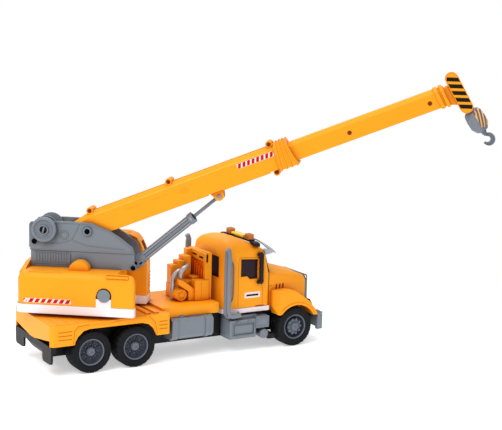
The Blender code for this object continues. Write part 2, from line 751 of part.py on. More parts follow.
def build_house(orange, white, grey, glass, house):
    bm = bmesh.new()
    prism(bm, house_plan(back=SKIRT_REAR_X), "Z", SKIRT_BOTTOM_Z, SKIRT_TOP_Z)
    base = make("house_base", bm, white, house)
    cut(base, front_bay)

    def cab_sill(b):
        prism(b, rounded([(50, CRANE_CAB_INNER_Y), (CRANE_CAB_FRONT_X, CRANE_CAB_INNER_Y),
                          (CRANE_CAB_FRONT_X, HOUSE_HALF_WIDTH), (50, HOUSE_HALF_WIDTH)], [0, 2, 12, 0], 4),
              "Z", SKIRT_BOTTOM_Z, SKIRT_TOP_Z)

    add(base, cab_sill, lambda b: disc(b, HUB_RADIUS, "Z", (0, 0, 0), HUB_LOW_Z, SKIRT_BOTTOM_Z + 1, 24),
        lambda b: box(b, (14.2, -59.9, 85), (34.8, -57.6, 99.5)))

    def shell_rings(inset, low, high, front):
        """Plan outlines up the side: upright, then a rounded shoulder to the flat top."""
        rings = []
        for level, pull in ((low, 0), (high - 10, 0), (high - 5, 1.4), (high - 1.6, 4.4), (high, 9.5)):
            rings.append([(x, y, level) for x, y in house_plan(inset + pull, front)])
        return rings

    bm = bmesh.new()
    loft(bm, shell_rings(0.4, SKIRT_TOP_Z + GAP, HOUSE_TOP_Z, HOUSE_FRONT_X))
    shell = make("house_shell", bm, orange, house)

    def inside(b):
        loft(b, shell_rings(3.2, SKIRT_TOP_Z - 4, HOUSE_TOP_Z - 3, 40.0))

    def cab_room(b):
        box(b, (-6, CRANE_CAB_INNER_Y - 1.5, SKIRT_TOP_Z - 5), (90, 70, 140))

    def tab_room(b):
        box(b, (13.9, -65, 80), (35.1, -57, 104))

    def cap_room(b):
        disc(b, 10.2, "Y", (25, 0, 104.3), -65, -57.1, 24)

    def half_round(b):
        prism(b, arc((-15.2, 131), 14, 0, 180, 12), "Y", -37, -21.5)

    def rear_crown(b):
        """The rear wall rises to a rounded crown behind the side plates."""
        rings = []
        for y, top in ((-44, 131), (-34, 135.5), (-20, 139.5), (0, 140.8), (20, 139.5), (34, 135.5), (44, 131)):
            rings.append([(-87, y, 126), (-95, y, 126), (-95, y, 129), (-93.4, y, top - 1.6), (-90.6, y, top - 0.3),
                          (-87, y, top)])
        loft(b, rings)

    def edge_notch(b):
        box(b, (27, -61, 128.2), (58, -52, 140))

    cut(shell, inside, cab_room, front_bay)
    add(shell, half_round, rear_crown)
    cut(shell, tab_room, cap_room, edge_notch)

    bm = bmesh.new()
    turned(bm, [(0, -61.6), (8.2, -61.6), (8.9, -60.9), (8.9, -60.2), (4.2, -60.2), (4.2, -57.3), (0, -57.3)],
           "Y", (25, 0, 104.3), 28)
    make("side_cap", bm, grey, house)

    bm = bmesh.new()
    loft(bm, crane_cab_rings(0.0, CRANE_CAB_INNER_Y, HOUSE_HALF_WIDTH - 0.4, SKIRT_TOP_Z + GAP))
    crane_cab = make("crane_cab", bm, orange, house)

    def cab_windows(b):
        prism(b, [(8, 126), (52, 126), (57, 134), (57, 142), (51.5, 160), (47.5, 165.5), (8, 165.5)], "Y", 56, 66)

    def front_window(b):
        box(b, (46, 32, 141), (80, 50, 163))

    def rear_window(b):
        box(b, (-12, 28, 136), (2, 54, 163))

    cut(crane_cab, lambda b: loft(b, crane_cab_rings(2.6, CRANE_CAB_INNER_Y + 2.4, HOUSE_HALF_WIDTH - 2.8,
                                                     SKIRT_TOP_Z - 2)),
        cab_windows, front_window, rear_window)

    bm = bmesh.new()
    loft(bm, crane_cab_rings(2.9, CRANE_CAB_INNER_Y + 2.7, HOUSE_HALF_WIDTH - 3.1, 122))
    panes = make("crane_cab_windows", bm, glass, house)
    cut(panes, lambda b: loft(b, crane_cab_rings(4.3, CRANE_CAB_INNER_Y + 4.1, HOUSE_HALF_WIDTH - 4.5, 118)))


def plate_outline():
    return [(-86.0, HOUSE_TOP_Z + GAP), (60.4, HOUSE_TOP_Z + GAP), (60.4, 138.6), (57.6, 141.5), (57.6, 154.6),
            (54.6, 163.6), (40, 174.6), (24, 184.8), (-3, 194.9), (-50, 195.4), (-86.0, 193.2), (-88.2, 190),
            (-88.2, 158.5), (-86.0, 156.5)]


def build_plates(grey, steel, house):
    """The two upright frames that carry the boom, and the pin through them."""
    for side, sign in (("left", 1), ("right", -1)):
        low, high = sorted((sign * PLATE_INNER_Y, sign * PLATE_OUTER_Y))
        bm = bmesh.new()
        prism(bm, plate_outline(), "Y", low, high)
        plate = make(f"side_plate_{side}", bm, grey, house)

        def pin_holes(b):
            disc(b, 2.6, "Y", (BOOM_PIVOT_X, 0, BOOM_PIVOT_Z), -30, 30, 16)
            disc(b, 3.6, "Y", (KNOB_X, 0, KNOB_Z), -30, 30, 16)
            disc(b, 2.6, "Y", (FOOT_HOLE[0], 0, FOOT_HOLE[1]), -30, 30, 12)
            disc(b, 2.6, "Y", (-80.2, 0, 166.6), -30, 30, 12)

        def lower_face(b, sign=sign):
            """The lower band stands back a little from the upper one."""
            start, end = sorted((sign * (PLATE_OUTER_Y - 0.9), sign * (PLATE_OUTER_Y + 3)))
            box(b, (-90, start, 120), (62, end, 155.6))

        def boss(b, sign=sign):
            start, end = sorted((sign * (PLATE_OUTER_Y - 1), sign * (PLATE_OUTER_Y + 1.2)))
            turned(b, [(2.6, start), (5.2, start), (5.2, end), (2.6, end)], "Y",
                   (BOOM_PIVOT_X, 0, BOOM_PIVOT_Z), 20)

        cut(plate, pin_holes, lower_face)
        add(plate, boss)
    bm = bmesh.new()
    disc(bm, 2.3, "Y", (BOOM_PIVOT_X, 0, BOOM_PIVOT_Z), -18.8, 18.8, 14)
    make("boom_pivot_pin", bm, steel, house)


def build_winch(grey, house):
    axis = empty("winch_axis", house, (KNOB_X, 0, KNOB_Z))
    bm = bmesh.new()
    turned(bm, [(0, -26), (2.9, -26), (2.9, -15.6), (17.4, -15.6), (17.4, -13.4), (9, -12.8), (9, 12.8),
                (17.4, 13.4), (17.4, 15.6), (2.9, 15.6), (2.9, 20.2), (0, 20.2)], "Y", (0, 0, 0), 20)
    make("winch_drum", bm, grey, axis)
    bm = bmesh.new()
    face = -29.5
    turned(bm, [(0, -26.3), (3.2, -26.3), (3.2, -21), (15.6, -21), (17.2, -22.4), (17.2, face + 1.4), (16, face),
                (13.2, face), (12.4, face + 1.8), (7.4, face + 1.8), (6.8, face - 1.2), (0, face - 1.2)],
           "Y", (0, 0, 0), 24)
    knob = make("winch_knob", bm, grey, axis)
    cut(knob, lambda b: box(b, (-1.0, face - 3, -4.6), (1.0, face + 0.6, 4.6)))


# ---------------------------------------------------------------- boom

def beam_section(half, low, edge, ridge, inset=0.0):
    """Cross-section of a boom part: upright sides with chamfered top edges."""
    half -= inset
    top_half = half * 0.58
    return mirrored([(half, low + inset), (half, edge - inset * 0.4), (top_half, ridge - inset), (0, ridge - inset)])


def build_boom(orange, boom):
    """The main boom, an open-ended box with screw bosses, the clevis for the rod, and the end collar."""
    bm = bmesh.new()
    tail_section = mirrored([(BOOM_HALF_WIDTH, -9), (BOOM_HALF_WIDTH, 4.5), (9, 9.5), (0, 9.5)])
    section = beam_section(BOOM_HALF_WIDTH, BOOM_LOW, BOOM_EDGE, BOOM_RIDGE)
    loft(bm, [[(BOOM_TAIL, y, z) for y, z in tail_section],
              [(6, y, z) for y, z in section], [(BOOM_END, y, z) for y, z in section]])
    shell = make("boom_shell", bm, orange, boom)
    hollow = beam_section(BOOM_HALF_WIDTH, BOOM_LOW, BOOM_EDGE, BOOM_RIDGE, BOOM_WALL)
    cut(shell, lambda b: prism(b, hollow, "X", 12, BOOM_END + 5),
        lambda b: disc(b, 2.6, "Y", (0, 0, 0), -30, 30, 16))

    def boss(u, v):
        def draw(b):
            disc(b, 4.6, "Y", (u, 0, v), -11.5, 11.5, 14)
        return draw

    def screw_holes(b):
        for u, v in BOSS_PLACES:
            disc(b, 2.4, "Y", (u, 0, v), -20, -6.5, 12)

    def lug(sign):
        low, high = sorted((sign * 4.4, sign * 8.2))
        u, v = CLEVIS_PLACE
        outline = [(u - 11, BOOM_LOW + 1.2)] + arc((u, v), 6.2, 200, 350, 6) + [(u + 8.5, BOOM_LOW + 1.2)]
        return lambda b: prism(b, outline, "Y", low, high)

    def lug_holes(b):
        disc(b, 1.9, "Y", (CLEVIS_PLACE[0], 0, CLEVIS_PLACE[1]), -12, 12, 12)

    def head_relief(b):
        for low, high in ((-9, -7.2), (7.2, 9)):
            disc(b, 3.4, "Y", (CLEVIS_PLACE[0], 0, CLEVIS_PLACE[1]), low, high, 12)

    add(shell, *[boss(u, v) for u, v in BOSS_PLACES], lug(1), lug(-1))
    cut(shell, screw_holes, lug_holes, head_relief)

    def collar_ring(u, low, edge, ridge, lean):
        wide = BOOM_HALF_WIDTH + 2.4
        ring = beam_section(wide, low, edge, ridge)
        return [(u + lean * (ridge - z) / (ridge - low), y, z) for y, z in ring]

    bm = bmesh.new()
    loft(bm, [collar_ring(COLLAR_START, BOOM_LOW - 2.4, 18.5, 25.2, -2.5),
              collar_ring(COLLAR_END, BOOM_LOW - 2.4, 18.0, 24.6, 9)])
    collar = make("boom_collar", bm, orange, boom)
    boss_clear = [p for p in BOSS_PLACES if p[0] > 200]

    def boom_room(b):
        prism(b, beam_section(BOOM_HALF_WIDTH + GAP, BOOM_LOW - GAP, BOOM_EDGE + 0.2, BOOM_RIDGE + GAP), "X",
              260, BOOM_END + GAP)

    def slide_room(b):
        prism(b, beam_section(EXTENSION_HALF_WIDTH + 0.5, EXTENSION_LOW - 0.5, EXTENSION_EDGE + 0.3,
                              EXTENSION_RIDGE + 0.5), "X", 260, 320)

    def boss_room(b):
        for u, v in boss_clear:
            disc(b, 4.6 + GAP, "Y", (u, 0, v), -20, 20, 14)

    def ribs(b):
        for k in range(4):
            u = COLLAR_START + 2.6 + 4.4 * k
            ring = collar_ring(u, BOOM_LOW - 2.4 - 1, 18.5 + 0.6, 25.2 + 1, -3 + 3.0 * k)
            outer = [(x, y * 1.05, z) for x, y, z in ring]
            loft(b, [outer, [(x + 1.6, y, z) for x, y, z in outer]])

    add(collar, ribs)
    cut(collar, boom_room, slide_room, boss_room)


def stadium(top, bottom, radius, steps=8):
    """Outline of a long rounded plate between two centres."""
    direction = math.degrees(math.atan2(bottom[1] - top[1], bottom[0] - top[0]))
    return arc(top, radius, direction + 90, direction + 270, steps) + \
        arc(bottom, radius, direction - 90, direction + 90, steps)


def build_extension(orange, slide):
    """The sliding inner boom with the stepped collar at its tip and the two plates of the boom head."""
    section = beam_section(EXTENSION_HALF_WIDTH, EXTENSION_LOW, EXTENSION_EDGE, EXTENSION_RIDGE)
    bm = bmesh.new()
    prism(bm, section, "X", EXTENSION_START, EXTENSION_END)
    shell = make("extension_shell", bm, orange, slide)
    hollow = beam_section(EXTENSION_HALF_WIDTH, EXTENSION_LOW, EXTENSION_EDGE, EXTENSION_RIDGE, 2.0)

    def collar(start, end, grow):
        ring = beam_section(EXTENSION_HALF_WIDTH + grow, EXTENSION_LOW - grow, EXTENSION_EDGE + grow * 0.6,
                            EXTENSION_RIDGE + grow)
        return lambda b: loft(b, [[(start + (12 - z) * 0.12, y, z) for y, z in ring],
                                  [(end + (12 - z) * 0.12, y, z) for y, z in ring]])

    def screw_holes(b):
        for u in (378.0, 489.0):
            disc(b, 2.5, "Y", (u, 0, 3.2), -20, -8, 12)

    def head_arm(b):
        prism(b, [(508, -6), (522, -11), (524, 17), (508, 15)], "Y", -9.3, 9.3)

    def throat(b):
        box(b, (515, -6.5, -30), (560, 6.5, 40))

    add(shell, collar(499, 504, 1.7), collar(507, 511, 2.1), head_arm)
    cut(shell, lambda b: prism(b, hollow, "X", EXTENSION_START - 5, EXTENSION_END - 8), screw_holes, throat)

    for side, sign in (("left", 1), ("right", -1)):
        low, high = sorted((sign * HEAD_PLATE_INNER_Y, sign * HEAD_PLATE_OUTER_Y))
        bm = bmesh.new()
        prism(bm, stadium(HEAD_TOP, HEAD_BOTTOM, HEAD_RADIUS), "Y", low, high)
        plate = make(f"head_plate_{side}", bm, orange, slide)
        if side == "left":
            start, end = -HEAD_PLATE_INNER_Y + 0.4, HEAD_PLATE_INNER_Y + 0.5
            add(plate, lambda b: disc(b, 1.8, "Y", (HEAD_TOP[0], 0, HEAD_TOP[1]), start, end, 12),
                lambda b: disc(b, 1.8, "Y", (HEAD_BOTTOM[0], 0, HEAD_BOTTOM[1]), start, end, 12))


def build_cylinder(grey, boom):
    """Rod hinged on the boom, and the barrel that slides over it."""
    foot = Vector(CYLINDER_FOOT) - Vector((BOOM_PIVOT_X, BOOM_PIVOT_Z))
    turn = Matrix.Rotation(-BOOM_ANGLE, 2)
    foot = turn @ foot
    clevis = Vector(CLEVIS_PLACE)
    run = foot - clevis
    angle = math.atan2(run.y, run.x)
    axis = empty("cylinder_axis", boom, (clevis.x, 0, clevis.y), (0, -angle, 0))
    length = run.length

    bm = bmesh.new()
    disc(bm, ROD_RADIUS, "X", (0, 0, 0), 3, ROD_LENGTH, 12)
    rod = make("cylinder_rod", bm, grey, axis)
    add(rod, lambda b: disc(b, 5.0, "Y", (0, 0, 0), -3.9, 3.9, 16))
    cut(rod, lambda b: disc(b, 1.9, "Y", (0, 0, 0), -8, 8, 12))

    bm = bmesh.new()
    top = length - BARREL_LENGTH
    disc(bm, BARREL_RADIUS, "X", (0, 0, 0), top + 4, length - 7.5, 16)
    barrel = make("cylinder_barrel", bm, grey, axis)

    def cap(b):
        disc(b, BARREL_RADIUS + 1.3, "X", (0, 0, 0), top, top + 8.5, 16)

    def eye(b):
        disc(b, 8.6, "Y", (length, 0, 0), -5.5, 5.5, 18)

    def bore(b):
        disc(b, ROD_RADIUS + 0.5, "X", (0, 0, 0), top - 2, length - 11, 12)

    def foot_slot(b):
        disc(b, 5.8, "Y", (length, 0, 0), -9, 9, 18)

    add(barrel, cap, eye)
    cut(barrel, bore, foot_slot)


def build_hook(grey, black, rope_colour, slide):
    """Head pulley, the rope that hangs from it, its end knot, and the block with its hook."""
    pulley = empty("head_pulley_axis", slide, (HEAD_BOTTOM[0], 0, HEAD_BOTTOM[1]))
    bm = bmesh.new()
    turned(bm, [(2.1, -3.4), (7.4, -3.4), (7.4, -2.2), (5.6, -1.2), (5.6, 1.2), (7.4, 2.2), (7.4, 3.4), (2.1, 3.4)],
           "Y", (0, 0, 0), 18)
    make("head_pulley", bm, black, pulley)

    level = empty("rope_axis", pulley, (0, 0, 0), (0, BOOM_ANGLE, 0))
    bm = bmesh.new()
    tube_along(bm, [(ROPE_X, 0, -0.5), (ROPE_X, 0, -6.4)], 0.7, 8)
    make("hoist_rope", bm, rope_colour, level)

    # The rope ends in a round knot, and the block can tilt about that knot.
    hanging = empty("block_axis", level, (ROPE_X, 0, KNOT_Z), (0, -BLOCK_TILT, 0))
    bm = bmesh.new()
    knot = [(1.6 * math.cos(a), 1.6 * math.sin(a)) for a in [math.radians(-90 + 30 * k) for k in range(7)]]
    turned(bm, [(round(radius, 6), z) for radius, z in knot], "Z", (0, 0, 0), 10)
    make("rope_knot", bm, rope_colour, hanging)

    twisted = empty("block_body", hanging, (0, 0, 0), (0, 0, BLOCK_TWIST))
    bm = bmesh.new()
    rings = []
    for z, half_x, half_y in BLOCK_STATIONS:
        plan = rounded([(-half_x, -half_y), (half_x, -half_y), (half_x, half_y), (-half_x, half_y)], 2.2, 2)
        rings.append([(x, y, z) for x, y in plan])
    loft(bm, rings)
    block = make("hook_block", bm, grey, twisted)

    def knot_room(b):
        disc(b, 2.3, "Z", (0, 0, 0), -2.5, 10, 12)

    def shank_bore(b):
        disc(b, HOOK_RADIUS + 0.3, "Z", (0, 0, 0), BLOCK_BOTTOM - 4, BLOCK_BOTTOM + 8, 12)

    cut(block, knot_room, shank_bore)

    swivel = empty("hook_axis", hanging, (0, 0, BLOCK_BOTTOM))
    bm = bmesh.new()
    bend = [(HOOK_BEND * math.sin(a), 0, -12.0 + HOOK_BEND * math.cos(a)) for a in
            [math.radians(18 + 27 * k) for k in range(11)]]
    tube_along(bm, [(0, 0, 6), (0, 0, -3.0)] + bend, HOOK_RADIUS, 10)
    make("hook", bm, grey, swivel)


# ---------------------------------------------------------------- the truck

def main():
    clear_scene()
    orange = make_material("orange_plastic", (1.0, 0.35, 0.02), 0.35)
    grey = make_material("grey_plastic", (0.20, 0.23, 0.26), 0.45)
    black = make_material("black_plastic", (0.02, 0.02, 0.022), 0.5)
    white = make_material("white_plastic", (0.87, 0.84, 0.86), 0.35)
    rubber = make_material("tyre_rubber", (0.015, 0.016, 0.018), 0.75)
    rim_plastic = make_material("rim_plastic", (0.06, 0.07, 0.1), 0.4)
    glass = make_material("smoked_window", (0.02, 0.015, 0.03), 0.15)
    amber = make_material("amber_lens", (0.6, 0.15, 0.01), 0.2)
    yellow = make_material("yellow_lens", (1.0, 0.62, 0.02), 0.25)
    chrome = make_material("chrome_plastic", (0.75, 0.76, 0.78), 0.15, 1.0)
    silver = make_material("silver_paint", (0.6, 0.6, 0.62), 0.3, 0.8)
    steel = make_material("steel", (0.5, 0.5, 0.52), 0.3, 1.0)
    cord = make_material("rope_cord", (0.05, 0.05, 0.05), 0.9)

    datum = empty("truck_datum", None, (0, 0, -GROUND_CLEARANCE))
    build_chassis(black, datum)
    build_deck(orange, datum)
    build_tanks(grey, datum)
    build_tool_boxes(grey, datum)
    build_bumper(grey, datum)
    build_cab(orange, glass, white, datum)
    build_hood(orange, grey, datum)
    build_roof_gear(chrome, black, amber, yellow, datum)
    build_stacks(grey, black, datum)
    build_engine(orange, silver, datum)
    build_axle("front", FRONT_AXLE_X, -1.0, steel, rubber, rim_plastic, datum)
    build_axle("middle", MIDDLE_AXLE_X, -3.0, steel, rubber, rim_plastic, datum)
    build_axle("rear", REAR_AXLE_X, -3.0, steel, rubber, rim_plastic, datum)

    house = empty("swing_axis", datum, (0, 0, 0), (0, 0, SWING_ANGLE))
    build_house(orange, white, grey, glass, house)
    build_plates(grey, steel, house)
    build_winch(grey, house)
    boom = empty("boom_axis", house, (BOOM_PIVOT_X, 0, BOOM_PIVOT_Z), (0, -BOOM_ANGLE, 0))
    build_boom(orange, boom)
    slide = empty("extension_axis", boom)
    build_extension(orange, slide)
    build_cylinder(grey, boom)
    build_hook(grey, black, cord, slide)
    bpy.context.view_layer.update()


main()
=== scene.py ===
import json
import math

import bmesh
import bpy
from mathutils import Matrix, Vector


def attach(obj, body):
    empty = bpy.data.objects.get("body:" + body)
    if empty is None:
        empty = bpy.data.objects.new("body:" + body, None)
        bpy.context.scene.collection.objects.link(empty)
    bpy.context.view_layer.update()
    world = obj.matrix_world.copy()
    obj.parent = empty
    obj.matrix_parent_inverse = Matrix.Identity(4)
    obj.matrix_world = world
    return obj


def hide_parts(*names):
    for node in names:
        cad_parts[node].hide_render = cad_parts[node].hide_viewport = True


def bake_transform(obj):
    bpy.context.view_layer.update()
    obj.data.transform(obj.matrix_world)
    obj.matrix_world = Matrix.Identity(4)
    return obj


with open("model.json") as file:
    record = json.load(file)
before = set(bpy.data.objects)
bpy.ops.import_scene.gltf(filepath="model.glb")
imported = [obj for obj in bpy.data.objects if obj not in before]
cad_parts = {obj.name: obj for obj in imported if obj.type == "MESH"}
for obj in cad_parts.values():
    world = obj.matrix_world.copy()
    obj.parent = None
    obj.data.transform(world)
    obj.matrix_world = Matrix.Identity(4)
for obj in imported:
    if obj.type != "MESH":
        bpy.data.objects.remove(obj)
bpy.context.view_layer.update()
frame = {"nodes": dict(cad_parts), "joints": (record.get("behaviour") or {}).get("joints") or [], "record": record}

MM = 0.001
# Height of the ground from the chassis's underside; the pieces' own sizes are in millimetres above it.
GROUND = -20.0
SIDES = (("right", -1), ("left", 1))
ORANGE = "orange_plastic"
JOINTS = {joint["name"]: joint for joint in frame["joints"]}
NODES = frame["nodes"]
NODE_SLOT = {entry["node"]: entry["material_slot"] for entry in frame["record"]["subparts"]}


# ---- places

def shift(x, y, z):
    return Matrix.Translation(Vector((x, y, z)) * MM)


def turn(axis, degrees):
    return Matrix.Rotation(math.radians(degrees), 4, axis)


def basis(origin, along, across):
    """A local frame: its X runs along, its Y across, and it starts at origin (metres)."""
    x = Vector(along).normalized()
    y = Vector(across).normalized()
    z = x.cross(y)
    matrix = Matrix((x, y, z)).transposed().to_4x4()
    matrix.translation = Vector(origin)
    return matrix


def joint_at(name):
    return JOINTS[name]["pos_m"]


BOOM_AXIS = -Vector(JOINTS["boom_lift"]["axis"])
TRUCK = shift(0, 0, GROUND)
HOUSE = basis((0, 0, GROUND * MM), BOOM_AXIS.cross(Vector((0, 0, 1))), BOOM_AXIS)
BOOM = basis(joint_at("boom_lift"), JOINTS["boom_extend"]["axis"], BOOM_AXIS)
WINCH = basis(joint_at("winch_turn"), HOUSE.col[0][:3], BOOM_AXIS) @ turn("X", 180)
HEAD = basis(joint_at("pulley_turn"), HOUSE.col[0][:3], BOOM_AXIS)
HOOK_ACROSS = BOOM_AXIS.cross(Vector(JOINTS["hook_swivel"]["axis"]))
BLOCK = basis(joint_at("block_tilt"), HOOK_ACROSS, BOOM_AXIS)
HOOK = basis(joint_at("hook_swivel"), HOOK_ACROSS, BOOM_AXIS)
RAM = basis(joint_at("cylinder_hinge"), JOINTS["cylinder_slide"]["axis"], BOOM_AXIS)


# ---- materials

def add_node(tree, kind, **values):
    node = tree.nodes.new(kind)
    for key, value in values.items():
        if key in node.inputs:
            node.inputs[key].default_value = value
        else:
            setattr(node, key, value)
    return node


def map_range(tree, source, **ends):
    """A Map Range node fed by source; ends are its From Min, From Max, To Min and To Max."""
    node = add_node(tree, "ShaderNodeMapRange")
    for key, value in ends.items():
        node.inputs[key.replace("_", " ").title()].default_value = value
    tree.links.new(source, node.inputs["Value"])
    return node.outputs["Result"]


def noise(tree, scale, detail):
    where = add_node(tree, "ShaderNodeTexCoord")
    cloud = add_node(tree, "ShaderNodeTexNoise", Scale=scale, Detail=detail)
    tree.links.new(where.outputs["Object"], cloud.inputs["Vector"])
    return cloud.outputs["Fac"]


def plastic(name, colour, shade_colour, roughness, specular=0.28, metallic=0.0, grain=0.00003, grain_size=0.0006,
            mottle=0.05, coat=0.0):
    """Moulded plastic: soft mottling, a fine die texture, uneven gloss and painted shade that darkens its corners.
    """
    material = bpy.data.materials.new(name)
    material.use_nodes = True
    material.diffuse_color = (*colour, 1)
    tree = material.node_tree
    shader = tree.nodes["Principled BSDF"]
    link = tree.links.new
    tint = add_node(tree, "ShaderNodeMix", data_type="RGBA")
    tint.inputs["A"].default_value = (*[c * (1 - mottle) for c in colour], 1)
    tint.inputs["B"].default_value = (*[min(1, c * (1 + mottle)) for c in colour], 1)
    link(noise(tree, 22.0, 3.0), tint.inputs["Factor"])
    # Painted shade: ambient occlusion blends the colour toward the shade colour in corners and crevices.
    corner = add_node(tree, "ShaderNodeAmbientOcclusion", Distance=0.010, samples=6)
    shade = add_node(tree, "ShaderNodeMix", data_type="RGBA")
    shade.inputs["A"].default_value = (*shade_colour, 1)
    link(map_range(tree, corner.outputs["AO"], from_min=0.25, from_max=0.95), shade.inputs["Factor"])
    link(tint.outputs["Result"], shade.inputs["B"])
    link(shade.outputs["Result"], shader.inputs["Base Color"])
    gloss = map_range(tree, noise(tree, 90.0, 4.0), to_min=roughness - 0.07, to_max=roughness + 0.09)
    link(gloss, shader.inputs["Roughness"])
    bump = add_node(tree, "ShaderNodeBump", Strength=0.5, Distance=grain)
    link(noise(tree, 1.0 / grain_size, 2.0), bump.inputs["Height"])
    link(bump.outputs["Normal"], shader.inputs["Normal"])
    shader.inputs["Metallic"].default_value = metallic
    shader.inputs["Specular IOR Level"].default_value = specular
    shader.inputs["Coat Weight"].default_value = coat
    shader.inputs["Coat Roughness"].default_value = 0.12
    return material


def lens(name, colour, roughness):
    """Tinted clear plastic with fine moulded ribs and a faint painted glow."""
    material = plastic(name, colour, tuple(c * 0.4 for c in colour), roughness, mottle=0.12, coat=0.6)
    tree = material.node_tree
    shader = tree.nodes["Principled BSDF"]
    where = add_node(tree, "ShaderNodeTexCoord")
    ribs = add_node(tree, "ShaderNodeTexWave", Scale=260.0, bands_direction="Y")
    tree.links.new(where.outputs["Object"], ribs.inputs["Vector"])
    bump = add_node(tree, "ShaderNodeBump", Strength=0.4, Distance=0.0002)
    tree.links.new(ribs.outputs["Color"], bump.inputs["Height"])
    tree.links.new(bump.outputs["Normal"], shader.inputs["Normal"])
    # Painted glow: the lens gives off a faint light in its own colour.
    shader.inputs["Emission Color"].default_value = (*colour, 1)
    shader.inputs["Emission Strength"].default_value = 0.12
    return material


# Colour, painted shade colour for corners, roughness, specular, metallic, then grain, grain size and mottle where
# they differ.
PLASTICS = {
    "orange_plastic": ((0.95, 0.355, 0.008), (0.58, 0.10, 0.001), 0.42, 0.18),
    # Painted highlight: a lighter orange for the boom's upper chamfer.
    "lit_orange": ((1.0, 0.46, 0.05), (0.7, 0.2, 0.01), 0.4, 0.3),
    # Painted shade: a redder, darker orange for the ribs at the back of the engine rack.
    "shade_orange": ((0.86, 0.15, 0.003), (0.62, 0.07, 0.001), 0.42, 0.12),
    # Dark joints, and painted shade lines along the arch lips and the crane cab's roof groove.
    "seam_and_shade": ((0.50, 0.11, 0.002), (0.3, 0.04, 0.001), 0.5, 0.1),
    # Painted shade: dark brown for the inside of recesses, slots and vents.
    "hole_shade": ((0.26, 0.035, 0.004), (0.14, 0.016, 0.002), 0.6, 0.1),
    "grey_plastic": ((0.185, 0.212, 0.248), (0.05, 0.06, 0.075), 0.42, 0.28),
    # Painted highlight: a lighter grey for the barrel's ribs and band.
    "lit_grey": ((0.34, 0.37, 0.40), (0.12, 0.13, 0.15), 0.36, 0.4),
    "black_plastic": ((0.013, 0.013, 0.015), (0.004, 0.004, 0.005), 0.46, 0.14),
    # Painted shade: near-black for the inside of deep holes.
    "hole_black_shade": ((0.003, 0.003, 0.004), (0.001, 0.001, 0.001), 0.8, 0.0),
    "white_plastic": ((0.86, 0.79, 0.82), (0.45, 0.30, 0.30), 0.4, 0.2),
    "tyre_rubber": ((0.0095, 0.0105, 0.0125), (0.003, 0.003, 0.004), 0.66, 0.12, 0, 0.0001, 0.0009, 0.2),
    "rim_plastic": ((0.048, 0.055, 0.078), (0.012, 0.014, 0.022), 0.4, 0.22),
    "rim_edge": ((0.13, 0.148, 0.19), (0.04, 0.05, 0.065), 0.38, 0.25),
    "smoked_window": ((0.020, 0.008, 0.013), (0.008, 0.003, 0.004), 0.3, 0.18, 0, 0.0, 0.0006, 0.5),
    "chrome_plastic": ((0.42, 0.44, 0.50), (0.16, 0.17, 0.19), 0.3, 0.5, 0.55),
    "silver_paint": ((0.50, 0.50, 0.52), (0.16, 0.16, 0.17), 0.34, 0.5, 0.7),
    "steel": ((0.42, 0.42, 0.44), (0.14, 0.14, 0.15), 0.32, 0.5, 0.9),
    "dark_screw": ((0.17, 0.05, 0.02), (0.08, 0.02, 0.006), 0.45, 0.28, 0.4),
    "rope_cord": ((0.045, 0.045, 0.05), (0.01, 0.01, 0.01), 0.85, 0.28, 0, 0.0003, 0.0012),
    "sticker_white": ((0.84, 0.74, 0.71), (0.6, 0.45, 0.4), 0.4, 0.28, 0, 0.0),
    "sticker_red": ((0.56, 0.004, 0.006), (0.3, 0.002, 0.002), 0.45, 0.1, 0, 0.0),
    "sticker_black": ((0.012, 0.008, 0.004), (0.006, 0.004, 0.002), 0.45, 0.1, 0, 0.0),
    "sticker_yellow": ((0.86, 0.50, 0.21), (0.6, 0.3, 0.1), 0.4, 0.28, 0, 0.0),
    "sticker_brown": ((0.15, 0.10, 0.095), (0.06, 0.04, 0.04), 0.4, 0.28, 0, 0.0),
}
LOOKS = {name: plastic(name, *row) for name, row in PLASTICS.items()}
LOOKS["amber_lens"] = lens("amber_lens", (0.58, 0.17, 0.004), 0.12)
LOOKS["yellow_lens"] = lens("yellow_lens", (1.0, 0.66, 0.02), 0.12)
LOOKS["clear_lens"] = lens("clear_lens", (0.82, 0.84, 0.86), 0.06)


# ---- meshes

def arc(centre, radius, start, end, steps):
    points = []
    for i in range(steps + 1):
        angle = math.radians(start + (end - start) * i / steps)
        points.append((centre[0] + radius * math.cos(angle), centre[1] + radius * math.sin(angle)))
    return points


def spaced(count, radius, start=0.0):
    """Points evenly round a circle about the origin."""
    return arc((0, 0), radius, start, start + 360.0 - 360.0 / count, count - 1)


def rounded(corners, radius, steps=4):
    """The polygon with each of its corners rounded."""
    points = []
    count = len(corners)
    for i, corner in enumerate(corners):
        here = Vector(corner)
        before = Vector(corners[i - 1]) - here
        after = Vector(corners[(i + 1) % count]) - here
        reach = min(radius, before.length * 0.49, after.length * 0.49)
        start = here + before.normalized() * reach
        end = here + after.normalized() * reach
        for k in range(steps + 1):
            t = k / steps
            points.append(tuple(start * (1 - t) ** 2 + here * 2 * t * (1 - t) + end * t * t))
    return points


def on_axis(axis, a, b, level):
    if axis == "X":
        return (level, a, b)
    if axis == "Y":
        return (a, level, b)
    return (a, b, level)


def loft(bm, rings, closed=False):
    """A solid through rings of equal counts; closed joins the last ring to the first."""
    layers = [[bm.verts.new(Vector(p) * MM) for p in ring] for ring in rings]
    faces = []
    count = len(layers[0])
    pairs = list(zip(layers, layers[1:]))
    if closed:
        pairs.append((layers[-1], layers[0]))
    else:
        faces += [bm.faces.new(layers[0]), bm.faces.new(layers[-1])]
    for lower, upper in pairs:
        for i in range(count):
            j = (i + 1) % count
            faces.append(bm.faces.new((lower[i], lower[j], upper[j], upper[i])))
    bmesh.ops.recalc_face_normals(bm, faces=faces)


def prism(bm, outline, axis, low, high):
    loft(bm, [[on_axis(axis, a, b, level) for a, b in outline] for level in (low, high)])


def box(bm, low, high):
    (x0, y0, z0), (x1, y1, z1) = low, high
    prism(bm, [(x0, y0), (x1, y0), (x1, y1), (x0, y1)], "Z", z0, z1)


